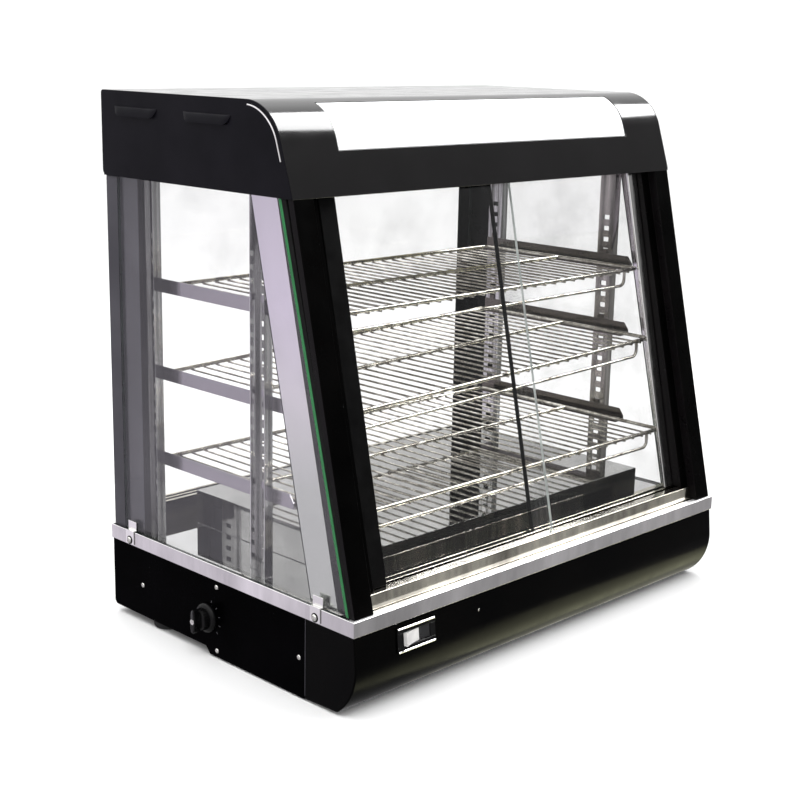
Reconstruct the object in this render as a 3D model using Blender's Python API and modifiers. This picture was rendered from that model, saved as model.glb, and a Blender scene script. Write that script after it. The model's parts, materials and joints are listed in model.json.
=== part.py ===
"""Countertop heated display cabinet with sloping front doors, built as separate pieces.

Frame: the origin is on the counter, under the middle of the overall box. +X is to the right
of someone facing the front doors, -Y is towards the front, +Z is up. All sizes are in metres.
The pieces are drawn about the middle of the base, and stand_on_origin then moves them all.
"""

import math

import bmesh
import bpy
from mathutils import Matrix, Vector

SIDES = {"left": -1, "right": 1}
GAP = 0.0003  # clearance between neighbouring pieces
SHEET = 0.0012  # painted sheet steel

# Base
HALF_W = 0.330
BACK_Y = 0.2165
FACE_Y = -0.2165
BASE_TOP = 0.096
BULGE_Y, BULGE_Z = -0.220, 0.060  # the fascia's foremost line
ROLL_R = 0.069  # radius of the fascia's rolled-under lower part
ROLL_END_Z = 0.004
SEAM_Y = -0.141  # the fascia's side cheeks end here
SKIRT_FRONT_Z, SKIRT_BACK_Z = 0.002, 0.010
SKIRT_STEP_Y = 0.030
FOOT_X, FOOT_YS, FOOT_R = 0.3105, {"front": -0.100, "rear": 0.132}, 0.0178
FOOT_CHAMFER, FOOT_CHAMFER_Z = 0.004, 0.0045
VENT_ZS, VENT_COUNT, VENT_FIRST_X, VENT_PITCH = (0.036, 0.054, 0.072), 6, -0.24, 0.06
VENT_W, VENT_H = 0.040, 0.004

# Trim band and floor
BAND_TOP = 0.114
BAND_HALF_W, BAND_HALF_D = 0.3315, 0.218
BAND_WALL = 0.0013
LEDGE_BACK_Y = -0.207  # rear edge of the ledge in front of the sill
FLOOR_TOP = 0.112
STAND_Z = FLOOR_TOP + GAP  # what stands on the floor starts here

# Sloping front
HOOD_LOW = 0.5415  # lower edge of the hood
LEAN_Z = 0.544  # the height at which the leaning pieces' Y places hold
POST_LEAN = 0.232
POST_Y = -0.115  # front face of the front posts at LEAN_Z
POST_TOP = HOOD_LOW - GAP
DOOR_LEAN = 0.218
DOOR_Y = -0.0985  # middle of the front track at LEAN_Z
TRACK_PITCH = 0.009
GROOVE_W = 0.006
PANE = 0.004
PULL_FRONT = 0.006  # how far a pull stands out from its pane's middle plane
SILL_TOP = 0.131

# Front doors
FRONT_DOOR_OUT = 0.2815  # outer edge of each pane
FRONT_PULL_INS, FRONT_PULL_OUT = {"left": 0.2600, "right": 0.2665}, 0.2835
LEFT_DOOR_EDGE = 0.026  # meeting edges
RIGHT_DOOR_EDGE = 0.000
FRONT_PANE_LOW, FRONT_PANE_TOP = 0.120, 0.553
FRONT_PULL_LOW, FRONT_PULL_TOP = 0.1315, 0.540

# Rear doors
REAR_TRACK_Y = 0.200
REAR_DOOR_OUT, REAR_DOOR_EDGE = 0.301, 0.013
REAR_PULL_IN, REAR_PULL_OUT = 0.281, 0.3028
REAR_SILL_TOP = 0.135
REAR_PANE_LOW = 0.120

# Side glass and posts
GLASS_IN, GLASS_OUT = 0.3232, 0.3272
GLASS_TOP = 0.550
GLASS_BACK_Y = 0.194
GLASS_FRONT_TOP_Y, GLASS_LEAN = -0.096, 0.2547
POST_OUT, POST_BEHIND_GLASS = 0.327, 0.3229
POST_FACE_IN, POST_REBATE_IN = 0.2995, 0.2845
TRIM_X, TRIM_BEHIND = (0.3217, 0.3229), (0.0305, 0.072)  # behind the front posts' front face
REAR_POST_Y = (0.160, 0.2163)
REAR_POST_IN = 0.304
CLIP_YS = {"front": -0.159, "rear": 0.178}

# Shelf uprights, brackets and shelves
UPRIGHT_WEB, UPRIGHT_OUT, UPRIGHT_T = 0.3008, 0.3125, 0.0012
UPRIGHT_W = 0.025
UPRIGHT_YS = {"front": -0.040, "rear": 0.1595}
UPRIGHT_TOP = 0.5459
SLOT_PITCH, SLOT_COUNT, SLOT_FIRST_Z = 0.015, 24, 0.129
SLOT_W, SLOT_H = 0.010, 0.006
BRACKET_WEB_IN, BRACKET_WEB_OUT = 0.2990, 0.3005
BRACKET_LEDGE_IN = 0.283
BRACKET_H, BRACKET_T = 0.016, 0.0012
BRACKET_DROP = 0.004  # from a slot's middle down to the bracket's top edge
BRACKET_BACK_Y, BRACKET_FRONT_Y = 0.172, -0.087
# the slot number each bracket hangs from, and each shelf's front edge; the middle shelf's
# right bracket hangs one slot higher than its left one
SHELVES = {
    "top": {"left": 21, "right": 21, "front_y": -0.106},
    "middle": {"left": 14, "right": 15, "front_y": -0.132},
    "bottom": {"left": 7, "right": 7, "front_y": -0.157},
}
SHELF_HALF_W, SHELF_BACK_Y = 0.285, 0.162
ROD_R, WIRE_W = 0.0025, 0.0024
WIRE_PITCH, WIRE_COUNT = 0.019, 29
LIP_DROP, LIP_HALF_W = 0.020, 0.258

# Heated deck, tray and heater
DECK_HALF_W, DECK_FRONT_Y, DECK_BACK_Y, DECK_TOP = 0.248, -0.150, 0.155, 0.155
DECK_T = 0.0012
TRAY_X, TRAY_Y, TRAY_Z = (-0.233, 0.137), (-0.1495, -0.045), (0.116, 0.141)
HEATER_R, HEATER_Z = 0.004, 0.130
HEATER_X, HEATER_YS = 0.180, (-0.010, 0.100)

# Hood
HOOD_HALF_W = 0.329
HOOD_TOP = 0.6395
HOOD_BACK_Y = 0.220
HOOD_CORNER = 0.004  # fold along the top of the back
CURVE_Y, CURVE_Z, CURVE_R = -0.0422, 0.5815, 0.058  # axis of the rolled front
CURVE_TURN = math.radians(72)  # the front then runs straight down, 18 degrees off vertical
SIGN_HALF_W, SIGN_START, SIGN_TAIL, SIGN_T = 0.250, math.radians(21.5), 0.012, 0.0028
SIGN_MARGIN = 0.0006
CEILING_Z, CEILING_T = 0.5463, 0.0015
GUIDE_TOP = 0.562
LAMP_Y, LAMP_Z, LAMP_R, LAMP_HALF_W = -0.045, 0.590, 0.0135, 0.240

# Controls and cord
KNOB_Y, KNOB_Z, KNOB_R = 0.030, 0.046, 0.018
KNOB_BODY_R, KNOB_DEPTH = 0.0142, 0.0135
GRIP_HALF_W, GRIP_HALF_H, GRIP_DEPTH = 0.0036, 0.0150, 0.0215
SHAFT_R = 0.003
SWITCH_X, SWITCH_Z = -0.2395, 0.076
SWITCH_OPENING = (0.0232, 0.0097)  # half width and half height
PIVOT_DEPTH = 0.003
SWITCH_LEAN = math.atan((BULGE_Y - FACE_Y) / (BULGE_Z - BASE_TOP))  # slope of the fascia there
ROCKER_REST = math.radians(8)
CORD_X, CORD_Z, CORD_R, CORD_RUN_Y = 0.220, 0.045, 0.0035, 0.236
PLUG_L, PLUG_HALF_W, PLUG_LOW_Z, PLUG_TOP_Z = 0.040, 0.011, 0.0005, 0.0225


# ---------------------------------------------------------------- scene and materials


def clear_scene():
    for obj in list(bpy.data.objects):
        bpy.data.objects.remove(obj, do_unlink=True)


def collection(name):
    coll = bpy.data.collections.new(name)
    bpy.context.scene.collection.children.link(coll)
    return coll


def material(name, colour, roughness, metallic=0.0, alpha=1.0):
    mat = bpy.data.materials.new(name)
    mat.use_nodes = True
    shader = mat.node_tree.nodes["Principled BSDF"]
    shader.inputs["Base Color"].default_value = (*colour, 1.0)
    shader.inputs["Roughness"].default_value = roughness
    shader.inputs["Metallic"].default_value = metallic
    shader.inputs["Alpha"].default_value = alpha
    return mat


# ---------------------------------------------------------------- shape helpers


def add(name, mesh, mat, smooth_below=35):
    """A named object for a finished mesh, in the cabinet's collection."""
    mesh.name = name
    obj = bpy.data.objects.new(name, mesh)
    PIECES.objects.link(obj)
    if mat:
        mesh.materials.clear()
        mesh.materials.append(mat)
    mesh.shade_smooth()
    mesh.set_sharp_from_angle(angle=math.radians(smooth_below))
    return obj


def box_mesh(low, high):
    size = [b - a for a, b in zip(low, high)]
    middle = [(a + b) / 2 for a, b in zip(low, high)]
    bm = bmesh.new()
    bmesh.ops.create_cube(bm, size=1.0, matrix=Matrix.Translation(middle) @ Matrix.Diagonal((*size, 1.0)))
    mesh = bpy.data.meshes.new("box")
    bm.to_mesh(mesh)
    bm.free()
    return mesh


def cylinder_mesh(radius, start, end, sides=32, end_radius=None):
    """A round bar or cone between two points on a line along a frame axis."""
    axis = [b - a for a, b in zip(start, end)]
    length = math.sqrt(sum(c * c for c in axis))
    middle = [(a + b) / 2 for a, b in zip(start, end)]
    turn = {0: Matrix.Rotation(math.pi / 2, 4, "Y"), 1: Matrix.Rotation(-math.pi / 2, 4, "X"), 2: Matrix()}
    along = max(range(3), key=lambda i: abs(axis[i]))
    if axis[along] < 0:
        radius, end_radius = (end_radius or radius), radius
    bm = bmesh.new()
    bmesh.ops.create_cone(
        bm,
        cap_ends=True,
        segments=sides,
        radius1=radius,
        radius2=end_radius or radius,
        depth=length,
        matrix=Matrix.Translation(middle) @ turn[along],
    )
    mesh = bpy.data.meshes.new("cylinder")
    bm.to_mesh(mesh)
    bm.free()
    return mesh


def mesh_of(obj):
    """The object's evaluated mesh with welded seams; the object itself is removed."""
    graph = bpy.context.evaluated_depsgraph_get()
    mesh = bpy.data.meshes.new_from_object(obj.evaluated_get(graph))
    mesh.transform(obj.matrix_world)
    data = obj.data
    bpy.data.objects.remove(obj, do_unlink=True)
    if isinstance(data, bpy.types.Curve):
        bpy.data.curves.remove(data)
    bm = bmesh.new()
    bm.from_mesh(mesh)
    bmesh.ops.remove_doubles(bm, verts=bm.verts, dist=1e-6)
    bmesh.ops.recalc_face_normals(bm, faces=bm.faces)
    bm.to_mesh(mesh)
    bm.free()
    return mesh


# maps an outline's two coordinates and its thickness direction onto the frame's axes
OUTLINE_PLANE = {
    "X": Matrix(((0, 0, 1, 0), (1, 0, 0, 0), (0, 1, 0, 0), (0, 0, 0, 1))),  # outline in Y, Z
    "Y": Matrix(((1, 0, 0, 0), (0, 0, -1, 0), (0, 1, 0, 0), (0, 0, 0, 1))),  # outline in X, Z
    "Z": Matrix(),  # outline in X, Y
}


def outline_mesh(points, low, high, axis):
    """A flat outline, thickened from low to high along one axis of the frame."""
    curve = bpy.data.curves.new("outline", "CURVE")
    curve.dimensions = "2D"
    curve.fill_mode = "BOTH"
    curve.extrude = (high - low) / 2
    spline = curve.splines.new("POLY")
    spline.points.add(len(points) - 1)
    for point, (a, b) in zip(spline.points, points):
        point.co = (a, b, 0, 1)
    spline.use_cyclic_u = True
    obj = bpy.data.objects.new("outline", curve)
    PIECES.objects.link(obj)
    bpy.context.view_layer.update()
    mesh = mesh_of(obj)
    shift = {"X": (1, 0, 0), "Y": (0, 1, 0), "Z": (0, 0, 1)}[axis]
    middle = [s * (low + high) / 2 for s in shift]
    mesh.transform(Matrix.Translation(middle) @ OUTLINE_PLANE[axis])
    return mesh


def tube_mesh(points, radius, closed=False, sides=8):
    """A round bar bent along a path."""
    curve = bpy.data.curves.new("tube", "CURVE")
    curve.dimensions = "3D"
    curve.bevel_depth = radius
    curve.bevel_resolution = sides // 2 - 2
    curve.use_fill_caps = True
    spline = curve.splines.new("POLY")
    spline.points.add(len(points) - 1)
    for point, place in zip(spline.points, points):
        point.co = (*place, 1)
    spline.use_cyclic_u = closed
    obj = bpy.data.objects.new("tube", curve)
    PIECES.objects.link(obj)
    bpy.context.view_layer.update()
    return mesh_of(obj)


def rounded_path(points, radius, steps=4, closed=False):
    """The path through the points, with every corner turned on an arc of the given radius."""
    corners = [Vector(p) for p in points]
    count = len(corners)
    path = []
    for i, corner in enumerate(corners):
        if not closed and i in (0, count - 1):
            path.append(tuple(corner))
            continue
        before = (corners[i - 1] - corner).normalized()
        after = (corners[(i + 1) % count] - corner).normalized()
        half = before.angle(after) / 2
        reach = radius / math.tan(half)
        centre = corner + (before + after).normalized() * radius / math.sin(half)
        first, last = corner + before * reach - centre, corner + after * reach - centre
        for step in range(steps + 1):
            path.append(tuple(centre + first.slerp(last, step / steps) * radius))
    return path


def joined(meshes):
    """Several meshes as one, for shapes that don't touch each other."""
    bm = bmesh.new()
    for mesh in meshes:
        bm.from_mesh(mesh)
        bpy.data.meshes.remove(mesh)
    out = bpy.data.meshes.new("joined")
    bm.to_mesh(out)
    bm.free()
    return out


def combine(first, second, operation):
    """The Boolean result of two meshes, which are used up."""
    body = bpy.data.objects.new("body", first)
    tool = bpy.data.objects.new("tool", second)
    PIECES.objects.link(body)
    TOOLS.objects.link(tool)
    tool.hide_render = True
    tool.display_type = "WIRE"
    boolean = body.modifiers.new(operation.lower(), "BOOLEAN")
    boolean.operation = operation
    boolean.object = tool
    bpy.context.view_layer.update()
    mesh = mesh_of(body)
    bpy.data.objects.remove(tool, do_unlink=True)
    bpy.data.meshes.remove(first)
    bpy.data.meshes.remove(second)
    return mesh


def cut(mesh, *tools):
    for tool in tools:
        mesh = combine(mesh, tool, "DIFFERENCE")
    return mesh


def union(mesh, *others):
    for other in others:
        mesh = combine(mesh, other, "UNION")
    return mesh


def lean(mesh, slope):
    """Leans an upright shape back: its points move by slope for each metre above or below LEAN_Z."""
    mesh.transform(Matrix(((1, 0, 0, 0), (0, 1, slope, -slope * LEAN_Z), (0, 0, 1, 0), (0, 0, 0, 1))))
    return mesh


def bevelled(obj, width, segments=2, angle=40):
    bevel = obj.modifiers.new("rounded_edges", "BEVEL")
    bevel.width = width
    bevel.segments = segments
    bevel.limit_method = "ANGLE"
    bevel.angle_limit = math.radians(angle)
    return obj


def with_origin(obj, place):
    """Moves the object's origin to a place on its joint, leaving the shape where it is."""
    obj.data.transform(Matrix.Translation([-c for c in place]))
    obj.location = place
    return obj


def mirrored(points, side):
    """An outline in X and another coordinate, for the left (-1) or right (+1) side."""
    placed = [(side * x, other) for x, other in points]
    return placed if side > 0 else placed[::-1]


def inset(outline, wall):
    """The outline moved inwards by a wall's thickness."""
    corners = [Vector(point) for point in outline]
    before, after = corners[-1:] + corners[:-1], corners[1:] + corners[:1]
    twice_area = sum(a.cross(b) for a, b in zip(corners, after))
    turn = Matrix.Rotation(math.copysign(math.pi / 2, twice_area), 2)
    moved = []
    for previous, corner, following in zip(before, corners, after):
        first = turn @ (corner - previous).normalized()
        second = turn @ (following - corner).normalized()
        moved.append(tuple(corner + (first + second) * wall / (1 + first.dot(second))))
    return moved


def folded_post(outline, low_z, high_z):
    """An upright hollow section of folded sheet, open at both ends."""
    hollow = outline_mesh(inset(outline, SHEET), low_z - 0.01, high_z + 0.01, "Z")
    return cut(outline_mesh(outline, low_z, high_z, "Z"), hollow)


def span(side, inner, outer):
    """The low and high X of something between two distances from the middle, on one side."""
    return sorted((side * inner, side * outer))


# ---------------------------------------------------------------- base


def fascia_front(inset):
    """The fascia's section in Y, Z from its top to the end of its rolled lower part."""
    points = [(FACE_Y + inset, BASE_TOP), (BULGE_Y + inset, BULGE_Z)]
    end = math.asin((BULGE_Z - ROLL_END_Z) / ROLL_R)
    steps = 10
    for i in range(1, steps + 1):
        turn = end * i / steps
        r = ROLL_R - inset
        points.append((BULGE_Y + ROLL_R - r * math.cos(turn), BULGE_Z - r * math.sin(turn)))
    return points


def front_fascia():
    outer = fascia_front(0) + [(SEAM_Y, SKIRT_FRONT_Z), (SEAM_Y, BASE_TOP)]
    above = BASE_TOP + 0.01
    behind = SEAM_Y + 0.01
    inner = [(FACE_Y + SHEET, above), *fascia_front(SHEET)[1:]]
    inner += [(behind, SKIRT_FRONT_Z + SHEET), (behind, above)]
    shell = outline_mesh(outer, -HALF_W, HALF_W, "X")
    hollow = outline_mesh(inner, -HALF_W + SHEET, HALF_W - SHEET, "X")
    half_w, half_h = SWITCH_OPENING
    low = (SWITCH_X - half_w, BULGE_Y - 0.02, SWITCH_Z - half_h)
    opening = box_mesh(low, (SWITCH_X + half_w, FACE_Y + 0.02, SWITCH_Z + half_h))
    add("front_fascia", cut(shell, hollow, opening), BLACK_PAINT)


def base_side(side, name):
    outline = [
        (SEAM_Y + 2 * GAP, SKIRT_FRONT_Z),
        (SKIRT_STEP_Y - 0.004, SKIRT_FRONT_Z),
        (SKIRT_STEP_Y + 0.003, SKIRT_BACK_Z),
        (BACK_Y - 0.004, SKIRT_BACK_Z),
        (BACK_Y, SKIRT_BACK_Z + 0.004),
        (BACK_Y, BASE_TOP),
        (SEAM_Y + 2 * GAP, BASE_TOP),
    ]
    low, high = span(side, HALF_W - SHEET, HALF_W)
    plate = outline_mesh(outline, low, high, "X")
    if side < 0:
        through = ((low - 0.01, KNOB_Y, KNOB_Z), (high + 0.01, KNOB_Y, KNOB_Z))
        plate = cut(plate, cylinder_mesh(SHAFT_R + 0.0015, *through, 24))
    add(name, plate, BLACK_PAINT)


def base_back():
    half = HALF_W - SHEET - GAP
    plate = box_mesh((-half, BACK_Y - SHEET, SKIRT_BACK_Z), (half, BACK_Y, BASE_TOP))
    front, behind = BACK_Y - 0.01, BACK_Y + 0.01
    vents = []
    for z in VENT_ZS:
        for i in range(VENT_COUNT):
            x = VENT_FIRST_X + VENT_PITCH * i
            vents.append(box_mesh((x, front, z - VENT_H / 2), (x + VENT_W, behind, z + VENT_H / 2)))
    cord_hole = cylinder_mesh(CORD_R + 0.003, (CORD_X, front, CORD_Z), (CORD_X, behind, CORD_Z), 20)
    add("base_back", cut(plate, joined(vents), cord_hole), BLACK_PAINT)


def bottom_plate():
    half = HALF_W - SHEET - GAP
    low = (-half, SEAM_Y + 2 * GAP, SKIRT_BACK_Z)
    high = (half, BACK_Y - SHEET - GAP, SKIRT_BACK_Z + SHEET)
    add("bottom_plate", box_mesh(low, high), BLACK_PAINT)


def foot(name, x, y):
    rim = (x, y, FOOT_CHAMFER_Z)
    lower = cylinder_mesh(FOOT_R - FOOT_CHAMFER, (x, y, 0), rim, 24, end_radius=FOOT_R)
    upper = cylinder_mesh(FOOT_R, rim, (x, y, SKIRT_BACK_Z - GAP), 24)
    add(name, union(lower, upper), RUBBER)


# ---------------------------------------------------------------- trim band, floor, sills


def trim_band():
    low_z = BASE_TOP + GAP
    ring = box_mesh((-BAND_HALF_W, -BAND_HALF_D, low_z), (BAND_HALF_W, BAND_HALF_D, BAND_TOP))
    inside = BAND_HALF_W - BAND_WALL
    hole = box_mesh((-inside, LEDGE_BACK_Y, 0), (inside, BAND_HALF_D - 0.0012, 0.2))
    bevelled(add("trim_band", cut(ring, hole), STAINLESS), 0.0004, 1)


def chamber_floor():
    half = BAND_HALF_W - BAND_WALL - GAP
    low = (-half, LEDGE_BACK_Y + GAP, FLOOR_TOP - SHEET)
    plate = box_mesh(low, (half, BACK_Y - GAP, FLOOR_TOP))
    holes = []
    for y in HEATER_YS:
        holes.append(cylinder_mesh(HEATER_R + 0.002, (HEATER_X, y, 0.1), (HEATER_X, y, 0.12), 20))
    add("chamber_floor", cut(plate, joined(holes)), MIRROR_STEEL)


def sill(name, outline, half_width, grooves):
    body = outline_mesh(outline, -half_width, half_width, "X")
    bevelled(add(name, cut(body, *grooves), ALUMINIUM), 0.0003, 1)


def groove(track_y, low_z, slope):
    half = GROOVE_W / 2
    return lean(box_mesh((-0.4, track_y - half, low_z), (0.4, track_y + half, 0.2)), slope)


def front_sill():
    outline = [(-0.205, STAND_Z), (-0.2035, SILL_TOP), (-0.168, SILL_TOP), (-0.168, STAND_Z)]
    low = FRONT_PANE_LOW - 0.001
    grooves = [groove(y, low, DOOR_LEAN) for y in (DOOR_Y, DOOR_Y + TRACK_PITCH)]
    sill("front_sill", outline, POST_FACE_IN - GAP, grooves)


def rear_sill():
    back = BACK_Y - GAP
    outline = [(0.192, STAND_Z), (0.192, REAR_SILL_TOP), (back, REAR_SILL_TOP), (back, STAND_Z)]
    low = REAR_PANE_LOW - 0.001
    grooves = [groove(y, low, 0) for y in (REAR_TRACK_Y, REAR_TRACK_Y + TRACK_PITCH)]
    sill("rear_sill", outline, REAR_POST_IN - GAP, grooves)


# ---------------------------------------------------------------- heat


def heat_deck():
    low = (-DECK_HALF_W, DECK_FRONT_Y, STAND_Z)
    shell = box_mesh(low, (DECK_HALF_W, DECK_BACK_Y, DECK_TOP))
    t = DECK_T
    hollow = box_mesh((low[0] + t, low[1] + t, 0.1), (DECK_HALF_W - t, DECK_BACK_Y - t, DECK_TOP - t))
    mouth_low = (TRAY_X[0] - 0.002, DECK_FRONT_Y - 0.01, TRAY_Z[0] - 0.0015)
    mouth = box_mesh(mouth_low, (TRAY_X[1] + 0.002, DECK_FRONT_Y + 0.01, TRAY_Z[1] + 0.005))
    add("heat_deck", cut(shell, hollow, mouth), MIRROR_STEEL)


def water_tray():
    low, high = zip(TRAY_X, TRAY_Y, TRAY_Z)
    pan = box_mesh(low, high)
    wall = 0.001
    hollow = box_mesh([c + wall for c in low], (high[0] - wall, high[1] - wall, 0.2))
    add("water_tray", cut(pan, hollow), STAINLESS)


def heating_element():
    front_y, back_y = HEATER_YS
    foot_z = 0.1
    corners = [
        (HEATER_X, back_y, foot_z),
        (HEATER_X, back_y, HEATER_Z),
        (-HEATER_X, back_y, HEATER_Z),
        (-HEATER_X, front_y, HEATER_Z),
        (HEATER_X, front_y, HEATER_Z),
        (HEATER_X, front_y, foot_z),
    ]
    add("heating_element", tube_mesh(rounded_path(corners, 0.012), HEATER_R), DARK_STEEL)


# ---------------------------------------------------------------- posts and glass


def front_post(side, name):
    """A folded post: raised outer face, a door rebate that ends on the sill, a glass step."""
    plan = [
        (POST_FACE_IN, 0.0),
        (POST_OUT, 0.0),
        (POST_OUT, 0.0085),
        (POST_BEHIND_GLASS, 0.0085),
        (POST_BEHIND_GLASS, 0.030),
        (POST_REBATE_IN, 0.030),
        (POST_REBATE_IN, 0.012),
        (POST_FACE_IN, 0.012),
    ]
    placed = [(x, POST_Y + depth) for x, depth in plan]
    post = folded_post(mirrored(placed, side), BAND_TOP + GAP, POST_TOP)
    low_x, high_x = span(side, POST_REBATE_IN - 0.01, POST_FACE_IN)
    post = cut(post, box_mesh((low_x, POST_Y - 0.01, 0.1), (high_x, POST_Y + 0.04, SILL_TOP + GAP)))
    add(name, lean(post, POST_LEAN), BLACK_PAINT)


def rear_post(side, name):
    """A folded post around the corner, stepped for the upright and for the side glass."""
    front_y, back_y = REAR_POST_Y
    step_y = GLASS_BACK_Y + 0.0005
    upright_y = UPRIGHT_YS["rear"] + UPRIGHT_W / 2 + 0.0005
    upright_x = UPRIGHT_OUT + 0.0005
    plan = [
        (REAR_POST_IN, upright_y),
        (upright_x, upright_y),
        (upright_x, front_y),
        (POST_BEHIND_GLASS, front_y),
        (POST_BEHIND_GLASS, step_y),
        (POST_OUT, step_y),
        (POST_OUT, back_y),
        (REAR_POST_IN, back_y),
    ]
    add(name, folded_post(mirrored(plan, side), STAND_Z, POST_TOP), BLACK_PAINT)


def front_trim(side, name):
    low, high = span(side, *TRIM_X)
    front, back = (POST_Y + depth for depth in TRIM_BEHIND)
    strip = box_mesh((low, front, BAND_TOP + GAP), (high, back, CEILING_Z - GAP))
    add(name, lean(strip, POST_LEAN), STAINLESS)


def side_glass(side, name):
    def front_y(z):
        return GLASS_FRONT_TOP_Y - GLASS_LEAN * (LEAN_Z - z)

    outline = [
        (front_y(STAND_Z), STAND_Z),
        (GLASS_BACK_Y, STAND_Z),
        (GLASS_BACK_Y, GLASS_TOP),
        (front_y(GLASS_TOP), GLASS_TOP),
    ]
    add(name, outline_mesh(outline, *span(side, GLASS_IN, GLASS_OUT), "X"), GLASS)


def glass_clip(side, y, name):
    """A bent strip: screwed to the band below, pressing on the glass above."""
    out = BAND_HALF_W + GAP
    glass = GLASS_OUT + GAP
    t = 0.0011
    over = BAND_TOP + GAP
    section = [
        (out, 0.098),
        (out + t, 0.098),
        (out + t, over + t),
        (glass + t, over + t),
        (glass + t, 0.126),
        (glass, 0.126),
        (glass, over),
        (out, over),
    ]
    add(name, outline_mesh(mirrored(section, side), y - 0.008, y + 0.008, "Y"), STAINLESS)


# ---------------------------------------------------------------- shelf supports and shelves


def slot_z(number):
    return SLOT_FIRST_Z + SLOT_PITCH * (number - 1)


def upright(side, y, name):
    """A channel open towards the side glass, with a row of slots in its web."""
    half = UPRIGHT_W / 2
    t = UPRIGHT_T
    plan = [
        (UPRIGHT_WEB, y - half),
        (UPRIGHT_OUT, y - half),
        (UPRIGHT_OUT, y - half + t),
        (UPRIGHT_WEB + t, y - half + t),
        (UPRIGHT_WEB + t, y + half - t),
        (UPRIGHT_OUT, y + half - t),
        (UPRIGHT_OUT, y + half),
        (UPRIGHT_WEB, y + half),
    ]
    channel = outline_mesh(mirrored(plan, side), STAND_Z, UPRIGHT_TOP, "Z")
    low, high = span(side, UPRIGHT_WEB - 0.003, UPRIGHT_WEB + 0.004)
    slots = []
    for number in range(1, SLOT_COUNT + 1):
        slot_low = (low, y - SLOT_W / 2, slot_z(number) - SLOT_H / 2)
        slots.append(box_mesh(slot_low, (high, y + SLOT_W / 2, slot_z(number) + SLOT_H / 2)))
    add(name, cut(channel, joined(slots)), STAINLESS)


def bracket_top(number):
    return slot_z(number) - BRACKET_DROP


def shelf_bracket(side, number, name):
    """An angle rail with a hook at each upright: up, through the slot and down behind it."""
    top = bracket_top(number)
    low_z = top - BRACKET_H
    web_x = span(side, BRACKET_WEB_IN, BRACKET_WEB_OUT)
    web_outline = [
        (BRACKET_FRONT_Y, low_z),
        (BRACKET_BACK_Y, low_z),
        (BRACKET_BACK_Y, top),
        (BRACKET_FRONT_Y + 0.007, top),
        (BRACKET_FRONT_Y, top - 0.009),
    ]
    rail = outline_mesh(web_outline, *web_x, "X")
    ledge_x = span(side, BRACKET_LEDGE_IN, BRACKET_WEB_OUT - 0.0005)
    ledge_low = (ledge_x[0], BRACKET_FRONT_Y + 0.0002, low_z - 0.0002)
    ledge = box_mesh(ledge_low, (ledge_x[1], BRACKET_BACK_Y - 0.0002, low_z + BRACKET_T))
    rail = union(rail, ledge)
    middle = slot_z(number)
    half = 0.004
    for y in UPRIGHT_YS.values():
        tongue = [
            (BRACKET_WEB_IN, top - 0.002),
            (BRACKET_WEB_OUT, top - 0.002),
            (BRACKET_WEB_OUT, middle - 0.002),
            (0.3030, middle - 0.002),
            (0.3030, middle - 0.006),
            (0.3045, middle - 0.006),
            (0.3045, middle + 0.002),
            (BRACKET_WEB_IN, middle + 0.002),
        ]
        rail = union(rail, outline_mesh(mirrored(tongue, side), y - half, y + half, "Y"))
    add(name, rail, STAINLESS)


def wire_shelf(level, name):
    """A grid of wires under a heavier frame, with a lower front rod whose ends turn up."""
    front_y = level["front_y"]
    half = SHELF_HALF_W
    corners = [(-half, front_y, 0), (half, front_y, 0), (half, SHELF_BACK_Y, 0), (-half, SHELF_BACK_Y, 0)]
    frame = tube_mesh(rounded_path(corners, 0.006, 3, closed=True), ROD_R, closed=True)
    middle_y = (front_y + SHELF_BACK_Y) / 2
    cross = tube_mesh([(-half, middle_y, 0), (half, middle_y, 0)], ROD_R * 0.96)
    lip_corners = [
        (-LIP_HALF_W, front_y + 0.0002, 0),
        (-LIP_HALF_W, front_y + 0.0002, -LIP_DROP),
        (LIP_HALF_W, front_y + 0.0002, -LIP_DROP),
        (LIP_HALF_W, front_y + 0.0002, 0),
    ]
    lip = tube_mesh(rounded_path(lip_corners, 0.008), ROD_R * 0.8)
    wires = []
    for i in range(WIRE_COUNT):
        x = WIRE_PITCH * (i - (WIRE_COUNT - 1) / 2)
        low = (x - WIRE_W / 2, front_y - 0.001, -ROD_R - 0.0018)
        wires.append(box_mesh(low, (x + WIRE_W / 2, SHELF_BACK_Y + 0.001, -ROD_R + 0.0006)))
    shelf = add(name, union(frame, cross, lip, joined(wires)), CHROME)

    left_z = bracket_top(level["left"]) - BRACKET_H + BRACKET_T
    right_z = bracket_top(level["right"]) - BRACKET_H + BRACKET_T
    shelf.location = (0, 0, (left_z + right_z) / 2 + ROD_R + 2 * GAP)
    shelf.rotation_euler = (0, -math.atan((right_z - left_z) / (2 * half)), 0)


# ---------------------------------------------------------------- doors


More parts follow.
